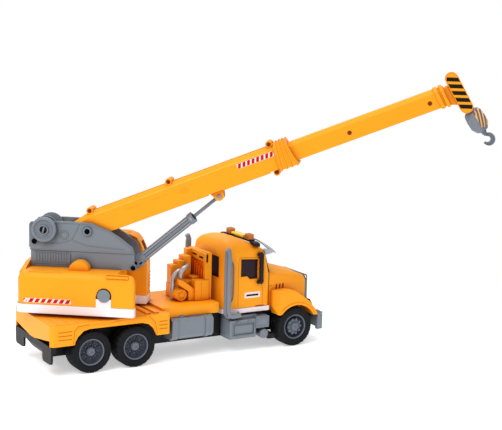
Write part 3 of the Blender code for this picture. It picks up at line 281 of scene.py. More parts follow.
def turned(bm, profile, axis, centre=(0, 0, 0), segments=40):
    """A profile of (radius, level) points turned about an axis; it closes on itself as a ring or solid."""
    solid = profile[0][0] == 0 and profile[-1][0] == 0
    columns = []
    for radius, level in profile:
        column = []
        for k in range(1 if radius == 0 else segments):
            angle = 2 * math.pi * k / segments
            spot = Vector(on_axis(axis, radius * math.cos(angle), radius * math.sin(angle), level))
            column.append(bm.verts.new((spot + Vector(centre)) * MM))
        columns.append(column)
    pairs = list(zip(columns, columns[1:]))
    if not solid:
        pairs.append((columns[-1], columns[0]))
    faces = []
    for first, second in pairs:
        for k in range(segments):
            n = (k + 1) % segments
            ring = [column[i % len(column)] for column, i in ((first, k), (first, n), (second, n), (second, k))]
            corners = list(dict.fromkeys(ring))
            if len(corners) > 2:
                faces.append(bm.faces.new(corners))
    bmesh.ops.recalc_face_normals(bm, faces=faces)


def disc(bm, radius, axis, centre, low, high, segments=32, crown=0.0):
    """A round plate, with its high edge eased by crown."""
    edge = [(radius, high - crown), (radius - crown, high)] if crown else [(radius, high)]
    turned(bm, [(0, low), (radius, low), *edge, (0, high)], axis, centre, segments)


def tube(bm, path, radius, sides=12):
    """A round bar along a path; radius may differ from point to point."""
    points = [Vector(p) for p in path]
    sizes = radius if isinstance(radius, (list, tuple)) else [radius] * len(points)
    normal = None
    rings = []
    for i, here in enumerate(points):
        ahead = points[min(i + 1, len(points) - 1)] - points[max(i - 1, 0)]
        ahead.normalize()
        if normal is None:
            normal = Vector((0, 1, 0)) if abs(ahead.y) < 0.9 else Vector((1, 0, 0))
        normal = (normal - ahead * normal.dot(ahead)).normalized()
        other = ahead.cross(normal)
        ring = []
        for k in range(sides):
            angle = 2 * math.pi * k / sides
            ring.append(here + normal * (sizes[i] * math.cos(angle)) + other * (sizes[i] * math.sin(angle)))
        rings.append(ring)
    loft(bm, rings)


def smooth_path(points, steps=6):
    """A Catmull-Rom curve through the points."""
    spots = [Vector(p) for p in points]
    padded = [spots[0] * 2 - spots[1]] + spots + [spots[-1] * 2 - spots[-2]]
    path = []
    for a, b, c, d in zip(padded, padded[1:], padded[2:], padded[3:]):
        for k in range(steps):
            t = k / steps
            path.append(0.5 * (2 * b + (c - a) * t + (2 * a - 5 * b + 4 * c - d) * t * t
                               + (3 * b - 3 * c + d - a) * t ** 3))
    return path + [spots[-1]]


def inset(outline, width):
    """A convex outline with every edge moved inwards by width."""
    middle = Vector((sum(a for a, _ in outline), sum(b for _, b in outline))) / len(outline)
    edges = []
    for start, end in zip(outline, outline[1:] + outline[:1]):
        along = (Vector(end) - Vector(start)).normalized()
        normal = Vector((-along.y, along.x))
        if normal.dot(middle - Vector(start)) < 0:
            normal = -normal
        edges.append((Vector(start) + normal * width, along))
    moved = []
    for (spot, along), (other, way) in zip(edges[-1:] + edges[:-1], edges):
        turned_by = along.x * way.y - along.y * way.x
        if abs(turned_by) < 0.02:
            moved.append(tuple(other))
        else:
            gap = other - spot
            moved.append(tuple(spot + along * ((gap.x * way.y - gap.y * way.x) / turned_by)))
    return moved


def between(table, at):
    """Straight-line reading of a table of (place, value) pairs."""
    for (a, low), (b, high) in zip(table, table[1:]):
        if at <= b:
            return low + (high - low) * max(0.0, (at - a) / (b - a))
    return table[-1][1]


def gasket(bm, outline, width, place):
    """A flat ring with a hollow middle; place(a, b, out) gives the surface, and out is 0 or 1."""
    inner = inset(outline, width)
    rings = []
    for loop, out in ((outline, 0), (outline, 1), (inner, 1), (inner, 0)):
        rings.append([place(a, b, out) for a, b in loop])
    loft(bm, rings, closed=True)


def side_box(bm, sign, x, y, z):
    """A box on one side: pairs of lengthwise places, of distances from the middle and of heights."""
    near, far = sorted((sign * y[0], sign * y[1]))
    box(bm, (x[0], near, z[0]), (x[1], far, z[1]))


def row(bm, sign, x, y, z, count=1, step=(0, 0, 0)):
    """Equal side boxes at even steps."""
    for k in range(count):
        side_box(bm, sign, *[(a + move * k, b + move * k) for (a, b), move in zip((x, y, z), step)])


def slab(bm, outline, sign, inner, outer):
    """A plate over an (x, z) outline between two distances from the middle, on one side."""
    prism(bm, outline, "Y", *sorted((sign * inner, sign * outer)))


def side_disc(bm, sign, radius, x, z, inner, outer, segments=24):
    disc(bm, radius, "Y", (x, 0, z), *sorted((sign * inner, sign * outer)), segments)


def side_tube(bm, sign, path, y, radius, sides=6):
    """A bar through (x, z) points at one distance from the middle."""
    tube(bm, [(x, sign * y, z) for x, z in path], radius, sides)


# ---- pieces

def soften(obj, width, angle=35):
    rounder = obj.modifiers.new("edge", "BEVEL")
    rounder.width = width * MM
    rounder.segments = 2
    rounder.limit_method = "ANGLE"
    rounder.angle_limit = math.radians(angle)
    rounder.harden_normals = False
    rounder.use_clamp_overlap = True


def new_object(name, bm, look, local=None):
    mesh = bpy.data.meshes.new(name)
    bm.to_mesh(mesh)
    bm.free()
    if local:
        mesh.transform(local)
    mesh.materials.append(LOOKS[look])
    mesh.shade_smooth()
    obj = bpy.data.objects.new(name, mesh)
    bpy.context.scene.collection.objects.link(obj)
    return obj


def piece(name, draw, look, body, local=TRUCK, bevel=0.0, angle=35, stands_for=None):
    """A new object: draw fills its bmesh in the local frame's millimetres."""
    bm = bmesh.new()
    draw(bm)
    obj = new_object(name, bm, look, local)
    obj.data.set_sharp_from_angle(angle=math.radians(angle))
    if bevel:
        soften(obj, bevel, angle)
    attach(obj, body)
    if stands_for:
        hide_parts(stands_for)


def single(name, look=ORANGE, body="chassis", local=TRUCK, **options):
    """Decorator: the function under it draws this piece."""
    def make(draw):
        piece(name, draw, look, body, local, **options)
        return draw
    return make


def pair(name, look=ORANGE, body="chassis", local=TRUCK, stands_for="", **options):
    """Decorator: the function under it draws this piece on the right and on the left, by its sign."""
    def make(draw):
        for side, sign in SIDES:
            piece(name.format(side), lambda bm: draw(bm, sign), look, body, local,
                  stands_for=stands_for.format(side), **options)
        return draw
    return make


EDGES = {"truck_cab": 1.2, "hood": 1.2, "house_shell": 0.8, "rear_deck": 0.8}


def dress_nodes():
    """Every CAD node gets its slot's material, welded corners and softened edges."""
    for name, obj in NODES.items():
        obj.data.materials.clear()
        obj.data.materials.append(LOOKS[NODE_SLOT[name]])
        for polygon in obj.data.polygons:
            polygon.use_smooth = True
            polygon.material_index = 0
        weld = obj.modifiers.new("weld", "WELD")
        weld.merge_threshold = 0.00001
        flat = obj.modifiers.new("flat", "DECIMATE")
        flat.decimate_type = "DISSOLVE"
        flat.angle_limit = math.radians(0.6)
        soften(obj, EDGES.get(name, 0.5))
        even = obj.modifiers.new("even", "WEIGHTED_NORMAL")
        even.keep_sharp = False


dress_nodes()


# ---- wheels

LUGS = 24
LUG_STEPS = (0.0, 0.6, 3.2, 3.8, 8.2, 8.6, 10.4, 10.8)
WHEEL_MIDDLE = 51.5
# Half section of a tyre from the crown to the bead: distance from its middle, radius, zone.
TYRE_HALF = ((0.4, 28.9, "rib"), (2.9, 29.0, "rib"), (3.2, 27.5, "groove"), (4.5, 27.5, "groove"),
             (4.8, 29.0, "lug"), (8.4, 28.95, "lug"), (11.2, 28.7, "lug"), (12.6, 27.8, "lug"),
             (13.4, 26.2, "edge"), (13.5, 24.8, "wall"), (13.1, 24.2, "wall"), (13.4, 23.4, "wall"),
             (13.3, 22.0, "wall"), (12.6, 20.6, "wall"), (12.2, 19.2, "wall"), (11.4, 18.6, "wall"))
RIM_LIP = [(18.45, 61.6), (18.45, 63.2), (17.9, 63.9), (17.1, 63.8), (16.5, 62.9), (16.6, 61.6)]


def tread_drop(step, zone):
    if step in (1, 2) and zone in ("lug", "edge"):
        return 0.6 if zone == "lug" else 0.35
    return 0.9 if step in (5, 6) and zone == "rib" else 0.0


def draw_tyre(bm):
    section = [(-d, r, zone) for d, r, zone in reversed(TYRE_HALF)] + list(TYRE_HALF)
    rings = []
    for lug in range(LUGS):
        for step, offset in enumerate(LUG_STEPS):
            ring = []
            for d, radius, zone in section:
                angle = math.radians(lug * 360 / LUGS + offset + 0.35 * abs(d))
                reach = radius - tread_drop(step, zone)
                ring.append((reach * math.cos(angle), WHEEL_MIDDLE + d, reach * math.sin(angle)))
            rings.append(ring)
    loft(bm, rings, closed=True)


def draw_dish(bm):
    """The rim's dish with its eight spokes."""
    turned(bm, [(0, 42), (18.4, 42), (18.4, 62.6), (17.0, 63.0), (16.2, 62.0), (15.7, 59.6), (14.4, 58.0),
                (12.4, 57.4), (8.4, 57.0), (7.0, 57.6), (6.4, 58.8), (0, 59.0)], "Y", segments=56)
    foot = Vector((0, 56.5, 0))
    for x, z in spaced(8, 1.0, 22.5):
        along = Vector((x, 0, z))
        side = Vector((-z, 0, x))
        rings = []
        for reach, wide, level in ((6.0, 1.7, 58.4), (10.5, 1.2, 58.3), (15.6, 1.5, 59.6)):
            spot = along * reach
            top = spot + Vector((0, level, 0))
            rings.append([spot - side * wide + foot, spot + side * wide + foot,
                          top + side * (wide - 0.5), top - side * (wide - 0.5)])
        loft(bm, rings)


def draw_rear_trim(bm):
    turned(bm, RIM_LIP, "Y", segments=56)
    turned(bm, [(0, 57), (6.3, 57), (6.0, 60.6), (5.2, 61.2), (5.0, 62.6), (4.3, 63.2), (2.2, 63.2),
                (1.9, 62.6), (0, 62.6)], "Y", segments=32)
    for x, z in spaced(8, 9.4):
        disc(bm, 1.15, "Y", (x, 0, z), 56.8, 58.6, 6, 0.3)


def draw_front_trim(bm):
    turned(bm, RIM_LIP, "Y", segments=56)
    turned(bm, [(0, 57), (11.6, 57), (11.2, 60.6), (10.2, 61.4), (6.4, 61.6), (5.9, 62.6), (5.6, 64.2),
                (4.8, 64.8), (2.2, 64.8), (1.9, 64.2), (0, 64.2)], "Y", segments=40)
    for x, z in spaced(10, 10.4):
        disc(bm, 1.9, "Y", (x, 0, z), 58, 62.8, 12, 0.5)


def wheels():
    for axle in ("front", "middle", "rear"):
        spot = joint_at(f"{axle}_wheels_roll")
        trim = draw_front_trim if axle == "front" else draw_rear_trim
        for side, sign in SIDES:
            local = basis(spot, (1, 0, 0), (0, sign, 0))
            tag = f"{axle}_{side}"
            body = f"{axle}_axle"
            piece(f"{tag}_tread_tyre", draw_tyre, "tyre_rubber", body, local, angle=32,
                  stands_for=f"{axle}_tyre_{side}")
            piece(f"{tag}_dish", draw_dish, "rim_plastic", body, local, stands_for=f"{axle}_rim_{side}")
            piece(f"{tag}_rim_trim", trim, "rim_edge", body, local)


wheels()


# ---- stickers and screws

def decal(bm, outline, surface, thick=0.12, lift=0.02):
    """A thin plate over the outline of (along, up) points; surface(along, up, out) gives the place."""
    loft(bm, [[surface(a, b, out) for a, b in outline] for out in (lift, lift + thick)])


def hazard(name, start, end, low, high, count, surface, body, local, lean=0.55):
    """A white strip with leaning red bars."""
    columns = [start + (end - start) * k / 14 for k in range(15)]
    strip = [(a, low) for a in columns] + [(a, high) for a in reversed(columns)]
    piece(f"{name}_base", lambda bm: decal(bm, strip, surface, 0.1), "sticker_white", body, local)

    def bars(bm):
        pitch = (end - start) / count
        tall = (high - low) * lean
        for k in range(count):
            a = start + pitch * k + 0.1
            b = a + pitch * 0.62
            decal(bm, [(a, low + 0.3), (b, low + 0.3), (min(b + tall, end), high - 0.3),
                       (min(a + tall, end - 0.2), high - 0.3)], surface, 0.08, 0.1)
    piece(f"{name}_bars", bars, "sticker_red", body, local)


def screw(bm, radius, sign, centre, level):
    """A pan head with a cross recess, on the Y axis; level is the height of its rim."""
    x, z = centre
    slot, arm = radius * 0.17, radius * 0.6
    quarter = [(arm, slot), (slot, slot), (slot, arm)]
    star = [(a * c - b * s, a * s + b * c) for c, s in ((1, 0), (0, 1), (-1, 0), (0, -1)) for a, b in quarter]
    rings = []
    for reach, out in ((1.0, -0.5), (1.0, 0.35), (0.93, 0.6), (0.8, 0.72)):
        size = radius * reach
        rings.append([(x + size * math.cos(angle), level + sign * out, z + size * math.sin(angle))
                      for angle in [math.atan2(b, a) for a, b in star]])
    for share, out in ((1.0, 0.72), (0.92, 0.1)):
        rings.append([(x + a * share, level + sign * out, z + b * share) for a, b in star])
    loft(bm, rings)


# ---- slewing house

HOUSE_SIDE = 59.6
HOUSE_REAR = -95.6
HOUSE_TOP = 130.8
CORNER_RADIUS = 14.0
CORNER_START = HOUSE_REAR + CORNER_RADIUS
SIDE_CAP = HOUSE @ shift(25, 0, 104.3) @ turn("X", 180)


def house_side(sign):
    """Surface of the house's side, round into its rear corner."""
    def surface(x, z, out):
        past = max(0.0, CORNER_START - x)
        if past == 0:
            return (x, sign * (HOUSE_SIDE + out), z)
        angle = past / CORNER_RADIUS
        reach = CORNER_RADIUS + out
        return (CORNER_START - reach * math.sin(angle),
                sign * (HOUSE_SIDE - CORNER_RADIUS + reach * math.cos(angle)), z)
    return surface


for side, sign in SIDES:
    hazard(f"house_{side}_strip", -87, -20, 90.4, 96.4, 8, house_side(sign), "house", HOUSE)
hazard("house_rear_strip", -38, 38, 90.2, 96.2, 10, lambda y, z, out: (HOUSE_REAR - out, y, z), "house", HOUSE)


@single("house_rear_louvres", ORANGE, "house", HOUSE, bevel=0.2)
def louvres(bm):
    for row in range(5):
        z = 103 + 4.2 * row
        profile = [(0.6, z), (-1.0, z + 0.2), (-1.0, z + 1.4), (0.6, z + 2.6)]
        prism(bm, [(HOUSE_REAR + x, level) for x, level in profile], "Y", -26, 26)


@single("house_top_pads", ORANGE, "house", HOUSE, bevel=0.5)
def top_pads(bm):
    """Shallow raised panels on the flat top, and the pad in the notch by the front corner."""
    side_box(bm, -1, (27.2, 57.8), (52.2, 59.6), (128.0, 130.4))
    for sign, x, far in ((-1, (-80, -34), 53.5), (-1, (4, 24), 52.5), (1, (-80, -34), 53.5)):
        side_box(bm, sign, x, (24, far), (HOUSE_TOP, HOUSE_TOP + 1.1))


# ---- winch knob

@single("winch_knob_flutes", "grey_plastic", "winch", WINCH)
def knob_flutes(bm):
    for x, z in spaced(30, 17.15):
        tube(bm, [(x, 23.8, z), (x, 27.2, z)], 0.35, 6)


# ---- side plates

PLATE_FACE = 20.5
PIVOT = (-7, 183.5)
REAR_HOLE = (-80.7, 166.6)
FOOT_HOLE = (56.4, 135.6)


@pair("plate_{}_lip", "grey_plastic", "house", HOUSE)
def plate_lip(bm, sign):
    """A raised lip along the plate's upper edge and down its front."""
    side_tube(bm, sign, [(-86.0, 191.6), (-50, 193.8), (-4, 193.4), (23.2, 183.4), (39, 173.4), (53.4, 162.8),
                         (56.2, 154.8)], PLATE_FACE, 0.7, 8)


@pair("plate_{}_rings", "grey_plastic", "house", HOUSE, bevel=0.25)
def plate_rings(bm, sign):
    for (x, z), inner, outer, rise in ((PIVOT, 3.5, 6.0, 2.6), (REAR_HOLE, 3.3, 5.0, 1.1),
                                       ((-39.4, 177), 4.8, 6.2, 0.7), (FOOT_HOLE, 2.8, 3.9, 0.5)):
        start, end = sorted((sign * 19.4, sign * (PLATE_FACE + rise)))
        turned(bm, [(inner, start), (outer, start), (outer, end), (inner, end)], "Y", (x, 0, z), 40)


@pair("plate_{}_web", "grey_plastic", "house", HOUSE)
def plate_web(bm, sign):
    """Shallow embossed ridges round the boom pivot."""
    for path in (((-17.5, 194), (-28.5, 170.5), (-45, 165.6), (-66, 163.6)),
                 ((-28.5, 170.5), (-8, 163.5), (44, 160.5))):
        side_tube(bm, sign, path, 20.45, 0.6, 8)


# Painted shade: black discs in the plate's holes.
@pair("plate_{}_wells", "hole_black_shade", "house", HOUSE)
def plate_wells(bm, sign):
    for (x, z), radius, rise in ((PIVOT, 3.9, 2.7), (REAR_HOLE, 3.9, 1.2), (FOOT_HOLE, 3.4, 0.6)):
        side_disc(bm, sign, radius, x, z, 20.3, PLATE_FACE + rise, 28)


# ---- boom and extension

BOOM_SIDE = 14.8
BOSSES = ((10.5, 24.6), (127.0, 24.6), (272.0, 25.5), (269.5, -13.3))
CLEVIS = (184.3, -17.5)
EXTENSION_SCREWS = ((378.0, 3.2), (489.0, 3.2))


def boom_side(sign):
    return lambda u, v, out: (u, sign * (BOOM_SIDE + out), v)


for side, sign in SIDES:
    hazard(f"boom_{side}_strip", 222.5, 274.5, 8.8, 15.6, 8, boom_side(sign), "boom", BOOM, lean=0.35)


@pair("boom_{}_marks", ORANGE, "boom", BOOM)
def boom_marks(bm, sign):
    """An embossed blank oval and two raised lines."""
    oval = [(144 + 5.4 * x, 6.6 + 3.3 * z) for x, z in arc((0, 0), 1.0, 0, 360, 24)]
    side_tube(bm, sign, oval, BOOM_SIDE, 0.3)
    side_tube(bm, sign, [(141.4, 6.0), (146.6, 7.2)], BOOM_SIDE, 0.35)
    for u in (60, 98):
        side_tube(bm, sign, [(u, 9.6), (u + 22, 9.6)], BOOM_SIDE, 0.25)


@single("clevis_screw", "steel", "boom", BOOM)
def clevis_screw(bm):
    for sign in (-1, 1):
        screw(bm, 2.9, sign, CLEVIS, sign * 8.1)
        side_disc(bm, sign, 1.7, *CLEVIS, 3.95, 8.0, 16)


@single("boom_tail", ORANGE, "boom", BOOM, bevel=0.5)
def boom_tail(bm):
    """The sloping tail behind the pivot."""
    rings = []
    for u, half, low, edge, top in ((-32, 13.2, -4.5, 7.0, 12.2), (-31, 14.2, -5.5, 8.0, 13.4),
                                    (-22, 14.95, -9.4, 10.6, 16.2), (5, 14.85, -9.8, 16.6, 22.6)):
        crown = half * 0.58
        rings.append([(u, y, v) for y, v in ((-half, low), (half, low), (half, edge), (crown, top),
                                             (-crown, top), (-half, edge))])
    loft(bm, rings)


@pair("boom_chamfer_{}", "lit_orange", "boom", BOOM)
def boom_chamfer(bm, sign):
    """The eased upper edge of the boom, in a lighter orange as a painted highlight."""
    loft(bm, [[(u, sign * y, v) for y, v in ((14.6, 16.4), (15.0, 17.2), (9.4, 20.3), (9.0, 19.6))]
              for u in (14, 268)])


def boss_wells(body, spots, radius, low, high, far_side):
    """Painted shade: dark discs for the screws' recesses in the near face, and on the boom for the plain hollows
    in its far face.
    """
    @single(f"{body}_screw_wells", "hole_shade", body, BOOM)
    def wells(bm):
        for u, v in spots:
            disc(bm, radius, "Y", (u, 0, v), low, high, 24)
            if far_side:
                disc(bm, 2.6, "Y", (u, 0, v), 11.45, 11.7, 24)


def boss_screws(body, spots, radius, level):
    @single(f"{body}_screws", "dark_screw", body, BOOM)
    def heads(bm):
        for spot in spots:
            screw(bm, radius, -1, spot, level)


boss_wells("boom", BOSSES, 2.9, -11.75, -11.3, True)
boss_screws("boom", BOSSES, 1.6, -11.4)
boss_wells("extension", EXTENSION_SCREWS, 3.0, -12.15, -11.6, False)
boss_screws("extension", EXTENSION_SCREWS, 1.7, -11.7)


# ---- boom head

HEAD_TOP = (526.3, 22.5)
HEAD_PIVOT = (531.7, -17.0)
BOOM_LEAN = math.radians(22.3)


def clip(outline, height, keep_below):
    """The part of a convex (a, b) outline with b below or above height."""
    kept = []
    for (a0, b0), (a1, b1) in zip(outline, outline[1:] + outline[:1]):
        inside = (b0 <= height) if keep_below else (b0 >= height)
        next_inside = (b1 <= height) if keep_below else (b1 >= height)
        if inside:
            kept.append((a0, b0))
        if inside != next_inside:
            t = (height - b0) / (b1 - b0)
            kept.append((a0 + (a1 - a0) * t, height))
    return kept


def stadium(radius, steps):
    """A round-ended outline from the head's top to its pivot."""
    (u0, v0), (u1, v1) = HEAD_TOP, HEAD_PIVOT
    heading = math.degrees(math.atan2(v1 - v0, u1 - u0))
    return (arc(HEAD_TOP, radius, heading + 90, heading + 270, steps)
            + arc(HEAD_PIVOT, radius, heading - 90, heading + 90, steps))


def to_level(u, v):
    """Boom coordinates to level ones about the head's pivot."""
    du, dv = u - HEAD_PIVOT[0], v - HEAD_PIVOT[1]
    along, up = math.cos(BOOM_LEAN), math.sin(BOOM_LEAN)
    return (du * along - dv * up, du * up + dv * along)


@pair("head_{}_bars", "sticker_black", "extension", HEAD)
def head_bars(bm, sign):
    """Black bars that lie level when the boom is at rest."""
    outline = [to_level(u, v) for u, v in stadium(7.5, 20)]
    for k in range(5):
        low = -2.4 + 8.6 * k
        slab(bm, clip(clip(outline, low, False), low + 5.1, True), sign, 13.02, 13.14)


@pair("head_{}_lip", ORANGE, "extension", BOOM)
def head_lip(bm, sign):
    edge = stadium(8.2, 24)
    side_tube(bm, sign, edge + edge[:1], 13.0, 0.45)


# ---- lift cylinder

RAM_LENGTH = (Vector(joint_at("cylinder_hinge")) - HOUSE @ (Vector((57.0, 0, 139.5)) * MM)).length / MM
BARREL = 103.0
RAM_TOP = RAM_LENGTH - BARREL


@single("ram_barrel", "grey_plastic", "cylinder_barrel", RAM, stands_for="cylinder_barrel")
def ram_barrel(bm):
    gland = [(3.0, 0), (7.6, 0), (7.9, 0.5), (7.9, 6.4), (7.4, 7.4), (6.7, 8.6)]
    foot = [(6.7, -17), (7.3, -16.4), (7.3, -9), (6.8, -7.6), (0, -7.6), (0, -12), (3.0, -12)]
    turned(bm, [(r, RAM_TOP + u) for r, u in gland] + [(r, RAM_LENGTH + u) for r, u in foot], "X", segments=40)


# Painted highlight: the ribs and band are a lighter grey than the barrel.
@single("ram_ribs", "lit_grey", "cylinder_barrel", RAM, bevel=0.3)
def ram_ribs(bm):
    for sign in (-1, 1):
        for level in (-4.2, 3.0):
            side_box(bm, sign, (RAM_TOP + 8, RAM_LENGTH - 17), (5.0, 7.5), (level, level + 1.3))
    box(bm, (RAM_TOP + 2.6, -8.2, -2.6), (RAM_TOP + 4.6, 8.2, 2.6))


@single("ram_foot", "grey_plastic", "cylinder_barrel", RAM, bevel=0.4)
def ram_foot(bm):
    corners = ((-10, -8.2), (1.5, -8.2), (8.2, -2.5), (8.2, 4.5), (2, 8.4), (-10, 8.4))
    outline = rounded([(RAM_LENGTH + u, v) for u, v in corners], 3.0)
    for sign in (-1, 1):
        slab(bm, outline, sign, 2.6, 6.2)
    box(bm, (RAM_LENGTH - 11, -6.2, -7.6), (RAM_LENGTH - 8.2, 6.2, 7.8))


# Painted shade: black discs in the eye's hole and its slot.
@single("ram_eye_wells", "hole_black_shade", "cylinder_barrel", RAM)
def ram_eye(bm):
    for sign in (-1, 1):
        side_disc(bm, sign, 2.3, RAM_LENGTH, 0, 5.9, 6.32)
        side_box(bm, sign, (RAM_LENGTH - 8, RAM_LENGTH - 3.4), (5.9, 6.32), (3.4, 5.4))


# ---- hook block and hook

BLOCK_FACE = BLOCK @ turn("Z", 45)
# The block's broad face at each level: how far it stands out, and half its breadth.
FACE_DEPTH = ((-26.2, 5.6), (-23.6, 6.8), (-18.6, 8.8), (-8, 9.1), (0.5, 8.2), (3.4, 6.6))
FACE_HALF = ((-26.2, 4.2), (-23.6, 5.6), (-18.6, 7.8), (-8, 8.1), (0.5, 7.6), (3.4, 5.8))
FACE_LEVELS = (-22.6, -20.5, -18.4, -15, -11, -7, -3, 0.4, 2.6)


@single("hook_block_body", "grey_plastic", "hook_block", BLOCK, angle=30, stands_for="hook_block")
def block_body(bm):
    """Square in plan, turned by half a right angle about its own axis."""
    rings = []
    side = math.sqrt(0.5)
    for z, a, b in ((-27.1, 4.4, 4.2), (-26.2, 6.0, 5.6), (-23.6, 7.4, 6.8), (-18.6, 9.6, 8.8), (-8, 9.9, 9.1),
                    (0.5, 9.4, 8.2), (3.4, 8.0, 6.6), (5.0, 6.2, 4.6)):
        corners = rounded([(-a, -b), (a, -b), (a, b), (-a, b)], 2.2, 3)
        rings.append([((x - y) * side, (x + y) * side, z) for x, y in corners])
    loft(bm, rings)


def face_strip(bm, sign, left, right, out):
    """A thin strip that follows the block's broad face; left and right give its edges at each level."""
    rings = []
    for z in FACE_LEVELS:
        limit, depth = between(FACE_HALF, z), between(FACE_DEPTH, z)
        a, b = max(-limit, min(limit, left(z))), max(-limit, min(limit, right(z)))
        if b - a > 0.3:
            near, far = sign * (depth - 0.3), sign * (depth + out)
            rings.append([(a, near, z), (b, near, z), (b, far, z), (a, far, z)])
    if len(rings) > 1:
        loft(bm, rings)


@single("hook_block_label", "sticker_yellow", "hook_block", BLOCK_FACE)
def block_label(bm):
    for sign in (-1, 1):
        face_strip(bm, sign, lambda z: -9, lambda z: 9, 0.12)


@single("hook_block_bars", "sticker_brown", "hook_block", BLOCK_FACE)
def block_bars(bm):
    """Leaning bars, each 3.2 wide, on both broad faces."""
    for sign in (-1, 1):
        for k in range(5):
            def middle(z):
                return sign * (16 - 6.2 * k) - sign * 0.8 * (z + 20) * 0.62
            face_strip(bm, sign, lambda z: middle(z) - 1.6, lambda z: middle(z) + 1.6, 0.24)


@single("hook_curve", "grey_plastic", "hook", HOOK)
def hook_curve(bm):
    """An I-shaped section round the hook, thick at its back and pointed at its tip."""
    section = ((-1, -1), (-0.6, -1), (-0.5, -0.55), (0.5, -0.55), (0.6, -1), (1, -1),
               (1, 1), (0.6, 1), (0.5, 0.55), (-0.5, 0.55), (-0.6, 1), (-1, 1))
    rings = []
    for k in range(25):
        t = k / 24
        angle = math.radians(-8 + 268 * t)
        swell = math.sin(math.pi * min(1.0, t * 1.05)) ** 0.6 if t < 0.95 else 0.3
        half, wide = 1.2 + 1.9 * swell, 1.7 + 0.8 * swell
        out = Vector((math.sin(angle), 0, math.cos(angle)))
        spot = Vector((6.1 * out.x, 0, -12.2 + 6.3 * out.z))
        rings.append([spot + out * (a * half) + Vector((0, b * wide, 0)) for a, b in section])
    loft(bm, rings)


# ---- rope

def rope():
    """A laid cord that hangs from the pulley down to the block's knot."""
    top = Vector(joint_at("rope_level")) + HOUSE.to_3x3() @ Vector((0.009, 0, 0))
    bottom = Vector(joint_at("block_tilt"))
    bm = bmesh.new()
    for strand in range(3):
        path = []
        for k in range(25):
            t = k / 24
            angle = 2 * math.pi * (t * 1.6 + strand / 3)
            path.append(top.lerp(bottom, t) / MM + Vector((0.4 * math.cos(angle), 0.4 * math.sin(angle), 0)))
        tube(bm, path, 0.5, 8)
    cord = new_object("rope_strands", bm, "rope_cord")
    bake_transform(cord)
    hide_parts("hoist_rope")


rope()


# ---- truck cab

CAB_SIDE = 50.0
CAB_FRONT = ((62, 252), (107, 252), (136, 245.8), (144, 243.4), (146.1, 240))
DOOR_WINDOW = [(203, 108), (214, 108), (218, 103.5), (231.5, 103.5), (231.5, 132), (203, 134)]


@pair("door_window_lip_{}", bevel=0.2)
def window_lip(bm, sign):
    gasket(bm, inset(DOOR_WINDOW, -1.3), 1.2, lambda x, z, out: (x, sign * (CAB_SIDE - 0.4 + 0.75 * out), z))


@pair("door_seam_{}", "seam_and_shade")
def door_seam(bm, sign):
    side_tube(bm, sign, [(199.2, 65), (199.2, 131.5), (201.5, 136.2), (233, 134.6), (236.6, 130), (237, 97),
                         (240, 87), (240, 65)], CAB_SIDE - 0.02, 0.26)


@pair("windscreen_pillar_{}", "black_plastic")
def pillar(bm, sign):
    path = [(between(CAB_FRONT, z) + ahead, sign * 42.4, z) for z, ahead in
            ((139, 0.2), (133, 1.2), (124, 1.8), (115, 2.4), (108, 3.2), (104.5, 3.6))]
    tube(bm, smooth_path(path, 3), 1.15, 8)


@single("windscreen_rubber", "black_plastic", bevel=0.2)
def windscreen_rubber(bm):
    gasket(bm, [(-43, 109), (43, 109), (41.5, 141.5), (-41.5, 141.5)], 1.6,
           lambda y, z, out: (between(CAB_FRONT, z) - 0.4 + 0.9 * out, y, z))


@single("wipers", "black_plastic")
def wipers(bm):
    sizes = [0.9, 0.8, 0.7, 0.9, 1.0, 1.0, 0.8]
    for start, end in (((-8, 109.6), (-30, 126)), ((30, 109.6), (6, 126))):
        spots = [Vector(start).lerp(Vector(end), k / 6) for k in range(7)]
        tube(bm, [(between(CAB_FRONT, z) + 1.0, y, z) for y, z in spots], sizes, 6)


@single("rear_window_rubber", bevel=0.2)
def rear_rubber(bm):
    gasket(bm, [(-34, 104), (34, 104), (34, 138), (-34, 138)], 1.6, lambda y, z, out: (177.4 - 0.9 * out, y, z))


@pair("mirror_{}", "black_plastic", bevel=0.35, stands_for="door_mirror_{}")
def mirror(bm, sign):
    """A tall mirror on two bent arms."""
    slab(bm, [(228.8, 137.2), (229.4, 141.6), (235.6, 142.6), (238.2, 139.0), (238.3, 134), (232.4, 135.6)],
         sign, 51.4, 55.0)
    slab(bm, [(232.4, 136.2), (238.3, 136.2), (238.6, 99), (232.7, 99)], sign, 52.0, 54.6)
    slab(bm, [(232.8, 102), (238.6, 102), (238.7, 99.4), (236.8, 95.8), (229.2, 96.6), (228.8, 100)],
         sign, 51.4, 55.0)
    for z in (138.8, 98.4):
        side_disc(bm, sign, 1.5, 233.5, z, 49.6, 51.8, 16)


@pair("visor_wing_{}", "chrome_plastic", bevel=0.3)
def visor_wing(bm, sign):
    slab(bm, [(239.5, 147.2), (257.5, 143.8), (254.4, 139.4), (243.4, 137.6)], sign, 49.4, 50.9)


@pair("beacon_ribs_{}", "amber_lens")
def beacon_ribs(bm, sign):
    for k in range(5):
        side_tube(bm, sign, [(224.45, 158), (224.45, 164), (225.2, 165.1), (232.8, 165.1), (233.55, 164),
                             (233.55, 158)], 22.6 + 2.2 * k, 0.4)


# ---- hood, fenders and bumper

HOOD_HALF = ((253, 46.5), (278, 43.5), (305, 39.5), (318, 36.5), (323, 35))
FRONT_WHEEL = (291.9, 28)
LAMP_SLOPE = TRUCK @ shift(320.2, 0, 60.2) @ turn("Y", -26.6)


# Painted shade: the vent slots are dark strips.
@pair("hood_vents_{}", "hole_shade")
def hood_vents(bm, sign):
    for x in (266.4, 272.5, 278.6):
        decal(bm, [(x - 1.4, 84), (x + 1.3, 84), (x + 1.9, 91), (x - 0.8, 91)],
              lambda a, z, out: (a, sign * (between(HOOD_HALF, a) + out), z), 0.2)


@pair("hood_crease_{}")
def hood_crease(bm, sign):
    path = [(x, sign * (between(HOOD_HALF, x) - 0.3), z) for x, z in
            ((254, 106.2), (266, 104.9), (278, 103.3), (292, 101.3), (305, 99.3), (316, 96.7))]
    tube(bm, smooth_path(path, 3), 0.7, 8)


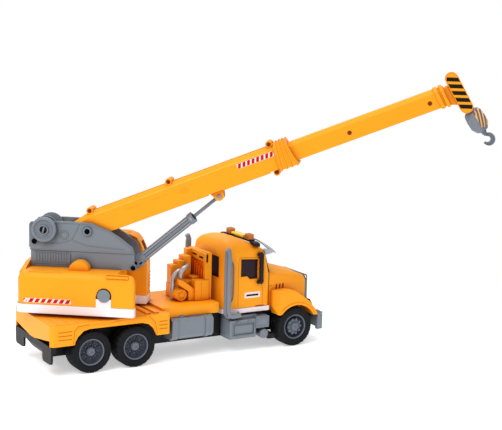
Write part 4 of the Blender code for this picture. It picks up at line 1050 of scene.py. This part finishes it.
@single("hood_gap", "seam_and_shade")
def hood_gap(bm):
    """The shut line between the cab and the hood."""
    half = [(-46.4, 66), (-46.4, 105), (-41, 113), (-24, 117)]
    whole = half + [(0, 117.7)] + [(-y, z) for y, z in reversed(half)]
    tube(bm, [(252.55, y, z) for y, z in whole], 0.35, 6)


@pair("fender_flange_{}", bevel=0.5)
def fender_flange(bm, sign):
    slab(bm, arc(FRONT_WHEEL, 36.6, 140, 30, 28) + arc(FRONT_WHEEL, 33.3, 30, 140, 28), sign, 62.6, 64.6)


@pair("headlight_lens_{}", "clear_lens", local=LAMP_SLOPE)
def headlight_lens(bm, sign):
    profile = [(0, 0.4), (4.2, 0.4), (4.2, 1.2), (3.4, 2.0), (1.8, 2.5), (0, 2.6)]
    for y in (43.8, 53.2):
        turned(bm, profile, "X", (0, sign * y, 0), 28)


@single("grille_surround", "chrome_plastic", bevel=0.4)
def grille_surround(bm):
    gasket(bm, [(-33.2, 49.5), (33.2, 49.5), (32.2, 97.4), (-32.2, 97.4)], 2.2,
           lambda y, z, out: (327.6 + 1.4 * out, y, z))


@pair("fog_lamp_{}", "clear_lens")
def fog_lamp(bm, sign):
    turned(bm, [(0, 347.6), (4.6, 347.6), (4.6, 349.3), (3.8, 349.9), (3.4, 349.5), (0, 349.9)], "X",
           (0, sign * 33, 31), 28)


# ---- tanks, tool boxes and stacks

AIR_TANK = (238, 0, 23.5)


@pair("tool_box_panel_{}", "grey_plastic", bevel=0.3)
def tool_panel(bm, sign):
    gasket(bm, [(186, 24.6), (222, 24.6), (222, 43), (186, 43)], 1.0,
           lambda x, z, out: (x, sign * (59.8 + 0.7 * out), z))
    for x in (192, 211):
        side_box(bm, sign, (x, x + 5), (59.9, 61.0), (43.2, 45.8))


@pair("air_tank_ends_{}", "grey_plastic")
def air_tank(bm, sign):
    profile = [(0, 59.6), (6.9, 59.6), (6.9, 60.7), (6.1, 61.7), (4.6, 62.1), (4.3, 61.8), (1.5, 62.0),
               (0, 62.2)]
    turned(bm, [(r, sign * y) for r, y in profile], "Y", AIR_TANK, 36)
    for y in (38, 56):
        low, high = sorted((sign * y, sign * (y + 2)))
        turned(bm, [(6.4, low), (7.1, low), (7.1, high), (6.4, high)], "Y", AIR_TANK, 36)


@pair("small_box_rim_{}", "grey_plastic", bevel=0.25)
def small_box_rim(bm, sign):
    gasket(bm, [(226, 35), (244.2, 35), (244.2, 47.8), (226, 47.8)], 1.4,
           lambda x, z, out: (x, sign * (60.8 + 0.7 * out), z))


@pair("stack_guard_{}", "grey_plastic")
def stack_guard(bm, sign):
    """The flat guard in front of each exhaust stack, drawn in at its top."""
    plan = rounded([(171.0, 57.2), (179.6, 57.2), (179.6, 61.4), (171.0, 61.4)], 1.4, 3)
    rings = [[(x, sign * y, z) for x, y in plan] for z in (57.5, 143)]
    rings.append([(x + (1.0 if x < 175 else -0.2), sign * (y - 0.3), 148.4) for x, y in plan])
    rings.append([(175.6 + (x - 175.6) * 0.62, sign * (59.2 + (y - 59.2) * 0.6), 150.6) for x, y in plan])
    loft(bm, rings)


@pair("stack_guard_bolt_{}", "dark_screw")
def guard_bolt(bm, sign):
    side_disc(bm, sign, 1.5, 177.2, 147.4, 60.4, 61.2, 18)


@pair("stack_guard_foot_{}", "grey_plastic")
def guard_foot(bm, sign):
    path = [(x, sign * y, z) for x, y, z in ((173.5, 59.4, 58), (176, 59.8, 54.6), (183, 59.6, 53.2),
                                             (193, 57.4, 55.6), (198, 54, 58))]
    tube(bm, smooth_path(path, 4), 1.5, 10)


@pair("tank_marks_{}", "grey_plastic", bevel=0.3)
def tank_marks(bm, sign):
    """Two straps and the filler cap."""
    for x in (98.7, 140.6):
        side_box(bm, sign, (x, x + 0.9), (59.6, 60.9), (31.5, 57.5))
    disc(bm, 4.2, "Z", (108, sign * 50, 0), 59.2, 61.6, 28, 0.6)
    disc(bm, 2.0, "Z", (108, sign * 50, 0), 61.5, 62.6, 6, 0.3)


# ---- power unit behind the cab

UNIT_BASE = 74.8
DRUM = (121.6, 0, 83.6)


def boxes(bm, *corners):
    for low, high in corners:
        box(bm, low, high)


@single("engine_rack", bevel=0.6, stands_for="engine_unit")
def engine_rack(bm):
    """The open rack against the cab."""
    boxes(bm, ((162, -27, UNIT_BASE), (168, 27, 142)), ((157.6, -27, UNIT_BASE), (162.3, -20, 140.6)),
          ((150.5, 17.5, UNIT_BASE), (162.3, 27, 141.2)), ((139.6, 4, UNIT_BASE), (150.8, 22, 133.4)))
    prism(bm, [(-27, 127.6), (27, 129.6), (27, 142), (-27, 140.8)], "X", 158.2, 162.4)


# Painted shade: the ribs are drawn in a darker, redder orange.
@single("engine_ribs", "shade_orange", bevel=0.5)
def engine_ribs(bm):
    box(bm, (159.6, -19.8, 103.2), (162.2, 17.2, 127.4))
    for k in range(5):
        y = -17.5 + 6.8 * k
        box(bm, (156.4, y, 103.2), (160, y + 3.0, 119 + 2.0 * k))


@single("engine_blocks", bevel=0.7)
def engine_blocks(bm):
    prism(bm, [(119.5, UNIT_BASE), (157, UNIT_BASE), (157, 101), (133, 101), (119.5, 94)], "Y", -14, 22)
    boxes(bm, ((117.4, 2, 96), (128.6, 15, 122.5)), ((128.4, 3, 96), (139.8, 18, 127.6)))
    for y in (-13, -7, -1):
        box(bm, (144.5, y, 100.5), (156.6, y + 3.4, 106))


@single("engine_wedge", bevel=0.7)
def engine_wedge(bm):
    prism(bm, [(115.5, 107), (123.5, 104.6), (143.4, 90), (143.4, UNIT_BASE), (132.4, UNIT_BASE), (132, 88.4),
               (117, 98.6)], "Y", -25.4, -19)


@single("engine_drum")
def engine_drum(bm):
    turned(bm, [(0, -24.4), (3.2, -24.4), (3.6, -23.6), (6.6, -23.6), (7.0, -24.2), (8.0, -24.2), (8.6, -23.4),
                (9.2, -14), (9.2, -9), (0, -9)], "Y", DRUM, 44)
    for x, z in spaced(6, 5, 12):
        disc(bm, 0.9, "Y", (DRUM[0] + x, 0, DRUM[2] + z), -24.4, -23.4, 6)


@single("engine_pipes", "silver_paint", angle=60, stands_for="engine_pipe")
def engine_pipes(bm):
    for path in ([(114.6, -9, 75.2), (114.4, -9, 96), (114.9, -8.8, 103), (117.6, -8.4, 110), (123, -8, 114.4),
                  (130, -8, 116)],
                 [(124.6, -13, 95), (124.4, -13, 108), (125.4, -13, 113.6), (129.4, -12.6, 118.6),
                  (134, -11, 120.4), (139.8, -6, 120.8), (142, 3, 120.8), (142, 6, 120.8)]):
        tube(bm, smooth_path(path, 5), 3.3, 20)
    for x, y, level in ((114.5, -9, 88), (124.5, -13, 101)):
        turned(bm, [(3.1, level), (4.0, level), (4.0, level + 2.2), (3.1, level + 2.2)], "Z", (x, y, 0), 28)


# ---- deck

DECK_TOP = 70.8


@pair("arch_lip_{}")
def arch_lip(bm, sign):
    side_tube(bm, sign, [(-59.4, 43.4), (-58.2, 61), (-53.4, 66.0), (-38, 67.2), (50.4, 69.0), (58.2, 61),
                         (61.6, 44)], 66.8, 1.0, 8)


# Painted shadow: a thin dark line along each arch lip.
@pair("arch_shade_{}", "seam_and_shade")
def arch_shade(bm, sign):
    side_tube(bm, sign, [(-60.8, 44), (-59.6, 61.6), (-54.2, 67.3), (-38, 68.6)], 66.9, 0.3)
    side_tube(bm, sign, [(50.6, 70.2), (59.4, 61.6), (62.9, 44)], 66.9, 0.3)


# ---- crane cab

# Painted shade: a dark line along the crane cab's roof groove.
@single("crane_cab_line", "seam_and_shade", "house", HOUSE)
def cab_line(bm):
    tube(bm, [(27, 22.2, 172.6), (44, 22.2, 170.6), (54, 22.2, 168.2)], 0.55, 6)


@single("crane_cab_hatch", ORANGE, "house", HOUSE, bevel=0.3)
def cab_hatch(bm):
    gasket(bm, [(18, 30), (40, 30), (40, 48), (18, 48)], 1.6, lambda x, y, out: (x, y, 173.4 + 1.2 * out))


# ---- pieces turned from one profile

# Name, look, body with its frame, axis, segments, profile of (radius, level), then what else piece() takes.
TURNED = (
    ("side_cap_disc", "grey_plastic", ("house", SIDE_CAP), "Y", 56,
     [(0, 57.4), (4, 57.4), (4, 60.2), (8.7, 60.2), (8.8, 61.1), (8.2, 61.7), (6.8, 61.8), (6.4, 61.55),
      (1.2, 61.55), (0.9, 61.75), (0, 61.75)], {"stands_for": "side_cap"}),
    # Painted shade: a black ring fills the gap round the side cap.
    ("side_cap_gap_shade", "black_plastic", ("house", SIDE_CAP), "Y", 48,
     [(8.95, 58.0), (10.0, 58.0), (10.0, 59.2), (8.95, 59.2)], {}),
    ("winch_knob_face", "grey_plastic", ("winch", WINCH), "Y", 72,
     [(0, 26.3), (3.2, 26.3), (3.2, 21.2), (15.0, 21.2), (16.6, 22.0), (17.2, 23.4), (17.2, 27.6), (16.6, 28.7),
      (15.4, 29.3), (14.0, 29.3), (13.2, 28.6), (12.6, 27.6), (11.4, 27.3), (9.6, 27.5), (8.4, 28.0),
      (7.6, 28.1), (7.2, 29.6), (6.6, 30.4), (5.6, 30.5), (5.2, 30.2), (5.0, 27.4), (0, 27.4)],
     {"angle": 50, "stands_for": "winch_knob"}),
    ("winch_knob_well", "black_plastic", ("winch", WINCH), "Y", 32,
     [(0, 27.3), (4.95, 27.3), (4.95, 27.7), (0, 27.7)], {}),
    ("ram_wiper", "black_plastic", ("cylinder_barrel", RAM), "X", 28,
     [(r, RAM_TOP + u) for r, u in ((2.45, -1.2), (4.2, -1.2), (4.8, 0.2), (2.45, 0.2))], {}),
    ("rod_collar", "grey_plastic", ("cylinder_rod", RAM), "X", 20,
     [(0, 4.2), (3.3, 4.2), (3.3, 7.2), (2.6, 8.2), (0, 8.2)], {}),
    ("hook_swivel_collar", "grey_plastic", ("hook_block", BLOCK), "Z", 28,
     [(2.4, -29.0), (3.7, -29.0), (4.1, -28.2), (4.1, -26.4), (2.4, -26.4)], {}),
    ("hook_shank", "grey_plastic", ("hook", HOOK), "Z", 24,
     [(0, 5.5), (1.9, 5.5), (1.9, -1.6), (3.2, -2.2), (3.2, -3.8), (2.2, -4.6), (2.2, -6.4), (0, -6.4)],
     {"stands_for": "hook"}),
)

for name, look, place, axis, segments, profile, options in TURNED:
    piece(name, lambda bm: turned(bm, profile, axis, segments=segments), look, *place, **options)


# ---- pieces made of boxes

HOUSE_ON = ("house", HOUSE)
BOOM_ON = ("boom", BOOM)
TRUCK_ON = ("chassis", TRUCK)
# Name, look, body with its frame, bevel, then boxes: x, y and z, and a count and step where they repeat.
PAIRED_BOXES = (
    ("plate_{}_louvres", "grey_plastic", HOUSE_ON, 0.25,
     ((-79.5, -77.8), (19.2, 20.4), (138.4, 151), 12, (3.8, 0, 0)),
     ((-82, -33.5), (19.2, 20.4), (136.2, 137.3), 2, (0, 0, 16))),
    ("plate_{}_fold", "grey_plastic", HOUSE_ON, 0.4, ((-87.4, 56.4), (19.6, 20.9), (154.9, 156.4)),
     ((-32, -30.6), (19.6, 20.9), (136.4, 152.6))),
    ("boom_lip_{}", ORANGE, BOOM_ON, 0.4, ((16, 173), (12.9, BOOM_SIDE), (-11.4, -9.8)),
     ((193.5, 262), (12.9, BOOM_SIDE), (-11.4, -9.8))),
    ("door_label_{}", "sticker_white", TRUCK_ON, 0,
     ((210, 236), (CAB_SIDE + 0.02, CAB_SIDE + 0.14), (76, 84.5))),
    ("door_label_bar_{}", "sticker_black", TRUCK_ON, 0,
     ((213, 233), (CAB_SIDE + 0.12, CAB_SIDE + 0.2), (78.6, 81.4))),
    # Painted shade: the sill slot is a dark strip.
    ("sill_slot_{}", "hole_shade", TRUCK_ON, 0,
     ((228.5, 242.7), (CAB_SIDE - 0.1, CAB_SIDE + 0.12), (62.6, 64.0))),
    ("beacon_base_{}", "black_plastic", TRUCK_ON, 0.4, ((223.6, 234.4), (19.8, 34.2), (156.2, 157.7))),
    ("headlight_bezel_{}", "black_plastic", ("chassis", LAMP_SLOPE), 0.8, ((-2.5, 0.9), (38.5, 58.5), (-7, 7))),
    ("bumper_treads_{}", "grey_plastic", TRUCK_ON, 0.2,
     ((333, 346.5), (24, 26.6), (42.3, 43.1), 6, (0, 5.5, 0))),
    ("tool_box_treads_{}", "grey_plastic", TRUCK_ON, 0.2,
     ((182.6, 185.8), (52.2, 58.6), (47.3, 48.1), 7, (6.2, 0, 0))),
    ("tank_step_{}", "grey_plastic", TRUCK_ON, 0.2, ((114, 115.6), (44, 56), (59.3, 60.4), 7, (3.6, 0, 0))),
    ("deck_planks_{}", ORANGE, TRUCK_ON, 0.25,
     ((-80, -78.5), (6, 62), (DECK_TOP, DECK_TOP + 0.7), 3, (14, 0, 0)),
     ((-82, 46), (62, 63.4), (DECK_TOP, DECK_TOP + 0.7))),
)
SINGLE_BOXES = (
    ("winch_knob_key", "grey_plastic", ("winch", WINCH @ turn("Y", -14)), 0.3,
     ((-1.1, 1.1), (27.3, 30.1), (-4.6, 4.6))),
    ("boom_ridge", ORANGE, BOOM_ON, 0.4, ((14, 270), (-1.6, 1.6), (22.8, 23.8))),
    ("grille_bars", "grey_plastic", TRUCK_ON, 0.25,
     ((326.9, 328.7), (-26.6, -25.4), (53, 94), 9, (0, 6.5, 0))),
    ("engine_side_block", ORANGE, TRUCK_ON, 0.8, ((141, 162.5), (-28.5, -15), (UNIT_BASE, 103.5)),
     ((150.8, 162.5), (-29.1, -28.3), (UNIT_BASE, 102.6))),
    ("engine_vent", "sticker_black", TRUCK_ON, 0, ((157.9, 158.5), (-18.4, -7.4), (132.4, 135)),
     ((157.9, 158.5), (1, 14), (134.2, 136.2))),
    ("crane_cab_grille", ORANGE, HOUSE_ON, 0.3, ((66.4, 67.5), (34, 50), (96, 98.4), 5, (0, 0, 5))),
)


def draw_rows(rows):
    def draw(bm, sign=1):
        for entry in rows:
            row(bm, sign, *entry)
    return draw


for name, look, place, bevel, *rows in PAIRED_BOXES:
    pair(name, look, *place, bevel=bevel)(draw_rows(rows))
for name, look, place, bevel, *rows in SINGLE_BOXES:
    single(name, look, *place, bevel=bevel)(draw_rows(rows))


# ---- stage

WORLD_LIGHT = 0.66
FLOOR_HALF = 6
FADE_START, FADE_END = 0.30, 0.75
LIGHT_AIM = (0.1, 0, 0.1)
LIGHTS = (("key", (-1.6, -1.0, 2.2), 1.2, 37), ("top", (0.3, 0.2, 2.4), 1.5, 17),
          ("rim", (0.6, 1.8, 1.6), 1.2, 8))
CAMERA_PLACE = (-0.69275, -1.56539, 0.47396)
CAMERA_LENS = 90.3
CAMERA_TURN, CAMERA_PITCH, CAMERA_ROLL = math.radians(-30.98), math.radians(9.53), math.radians(1.57)


def fade_to_white(tree, shader):
    """The floor melts into the white backdrop away from the toy."""
    link = tree.links.new
    where = add_node(tree, "ShaderNodeTexCoord")
    apart = add_node(tree, "ShaderNodeVectorMath", operation="LENGTH")
    link(where.outputs["Object"], apart.inputs[0])
    glow = add_node(tree, "ShaderNodeEmission")
    mix = add_node(tree, "ShaderNodeMixShader")
    link(map_range(tree, apart.outputs["Value"], from_min=FADE_START, from_max=FADE_END), mix.inputs["Fac"])
    link(shader.outputs["BSDF"], mix.inputs[1])
    link(glow.outputs["Emission"], mix.inputs[2])
    link(mix.outputs["Shader"], tree.nodes["Material Output"].inputs["Surface"])


def floor():
    bm = bmesh.new()
    bm.faces.new([bm.verts.new((x * FLOOR_HALF, y * FLOOR_HALF, GROUND * MM))
                  for x, y in ((-1, -1), (1, -1), (1, 1), (-1, 1))])
    mesh = bpy.data.meshes.new("floor")
    bm.to_mesh(mesh)
    bm.free()
    material = bpy.data.materials.new("pale_floor")
    material.use_nodes = True
    shader = material.node_tree.nodes["Principled BSDF"]
    for key, value in (("Base Color", (0.93, 0.93, 0.93, 1)), ("Roughness", 0.9), ("Specular IOR Level", 0.1),
                       ("Emission Color", (1, 1, 1, 1)), ("Emission Strength", 0.45)):
        shader.inputs[key].default_value = value
    fade_to_white(material.node_tree, shader)
    mesh.materials.append(material)
    obj = bpy.data.objects.new("floor", mesh)
    bpy.context.scene.collection.objects.link(obj)


def lights():
    """A white backdrop, dimmer as light than it looks, and three soft area lights."""
    world = bpy.data.worlds.new("studio")
    bpy.context.scene.world = world
    world.use_nodes = True
    tree = world.node_tree
    background = tree.nodes["Background"]
    background.inputs["Color"].default_value = (1, 1, 1, 1)
    seen = add_node(tree, "ShaderNodeLightPath")
    tree.links.new(map_range(tree, seen.outputs["Is Camera Ray"], to_min=WORLD_LIGHT, to_max=1.0),
                   background.inputs["Strength"])
    for name, spot, size, power in LIGHTS:
        data = bpy.data.lights.new(name, "AREA")
        data.size = size
        data.energy = power
        light = bpy.data.objects.new(name, data)
        bpy.context.scene.collection.objects.link(light)
        light.location = spot
        light.rotation_euler = (Vector(LIGHT_AIM) - Vector(spot)).to_track_quat("-Z", "Y").to_euler()


def camera():
    data = bpy.data.cameras.new("camera")
    data.sensor_width = 36
    data.lens = CAMERA_LENS
    obj = bpy.data.objects.new("camera", data)
    bpy.context.scene.collection.objects.link(obj)
    level = Vector((math.cos(CAMERA_TURN), math.sin(CAMERA_TURN), 0))
    out = math.cos(CAMERA_PITCH)
    ahead = Vector((-level.y * out, level.x * out, -math.sin(CAMERA_PITCH)))
    above = level.cross(ahead)
    right = level * math.cos(CAMERA_ROLL) + above * math.sin(CAMERA_ROLL)
    upward = above * math.cos(CAMERA_ROLL) - level * math.sin(CAMERA_ROLL)
    matrix = Matrix((right, upward, -ahead)).transposed().to_4x4()
    matrix.translation = Vector(CAMERA_PLACE)
    obj.matrix_world = matrix
    bpy.context.scene.camera = obj
    bpy.context.scene.view_settings.view_transform = "Standard"


floor()
lights()
camera()
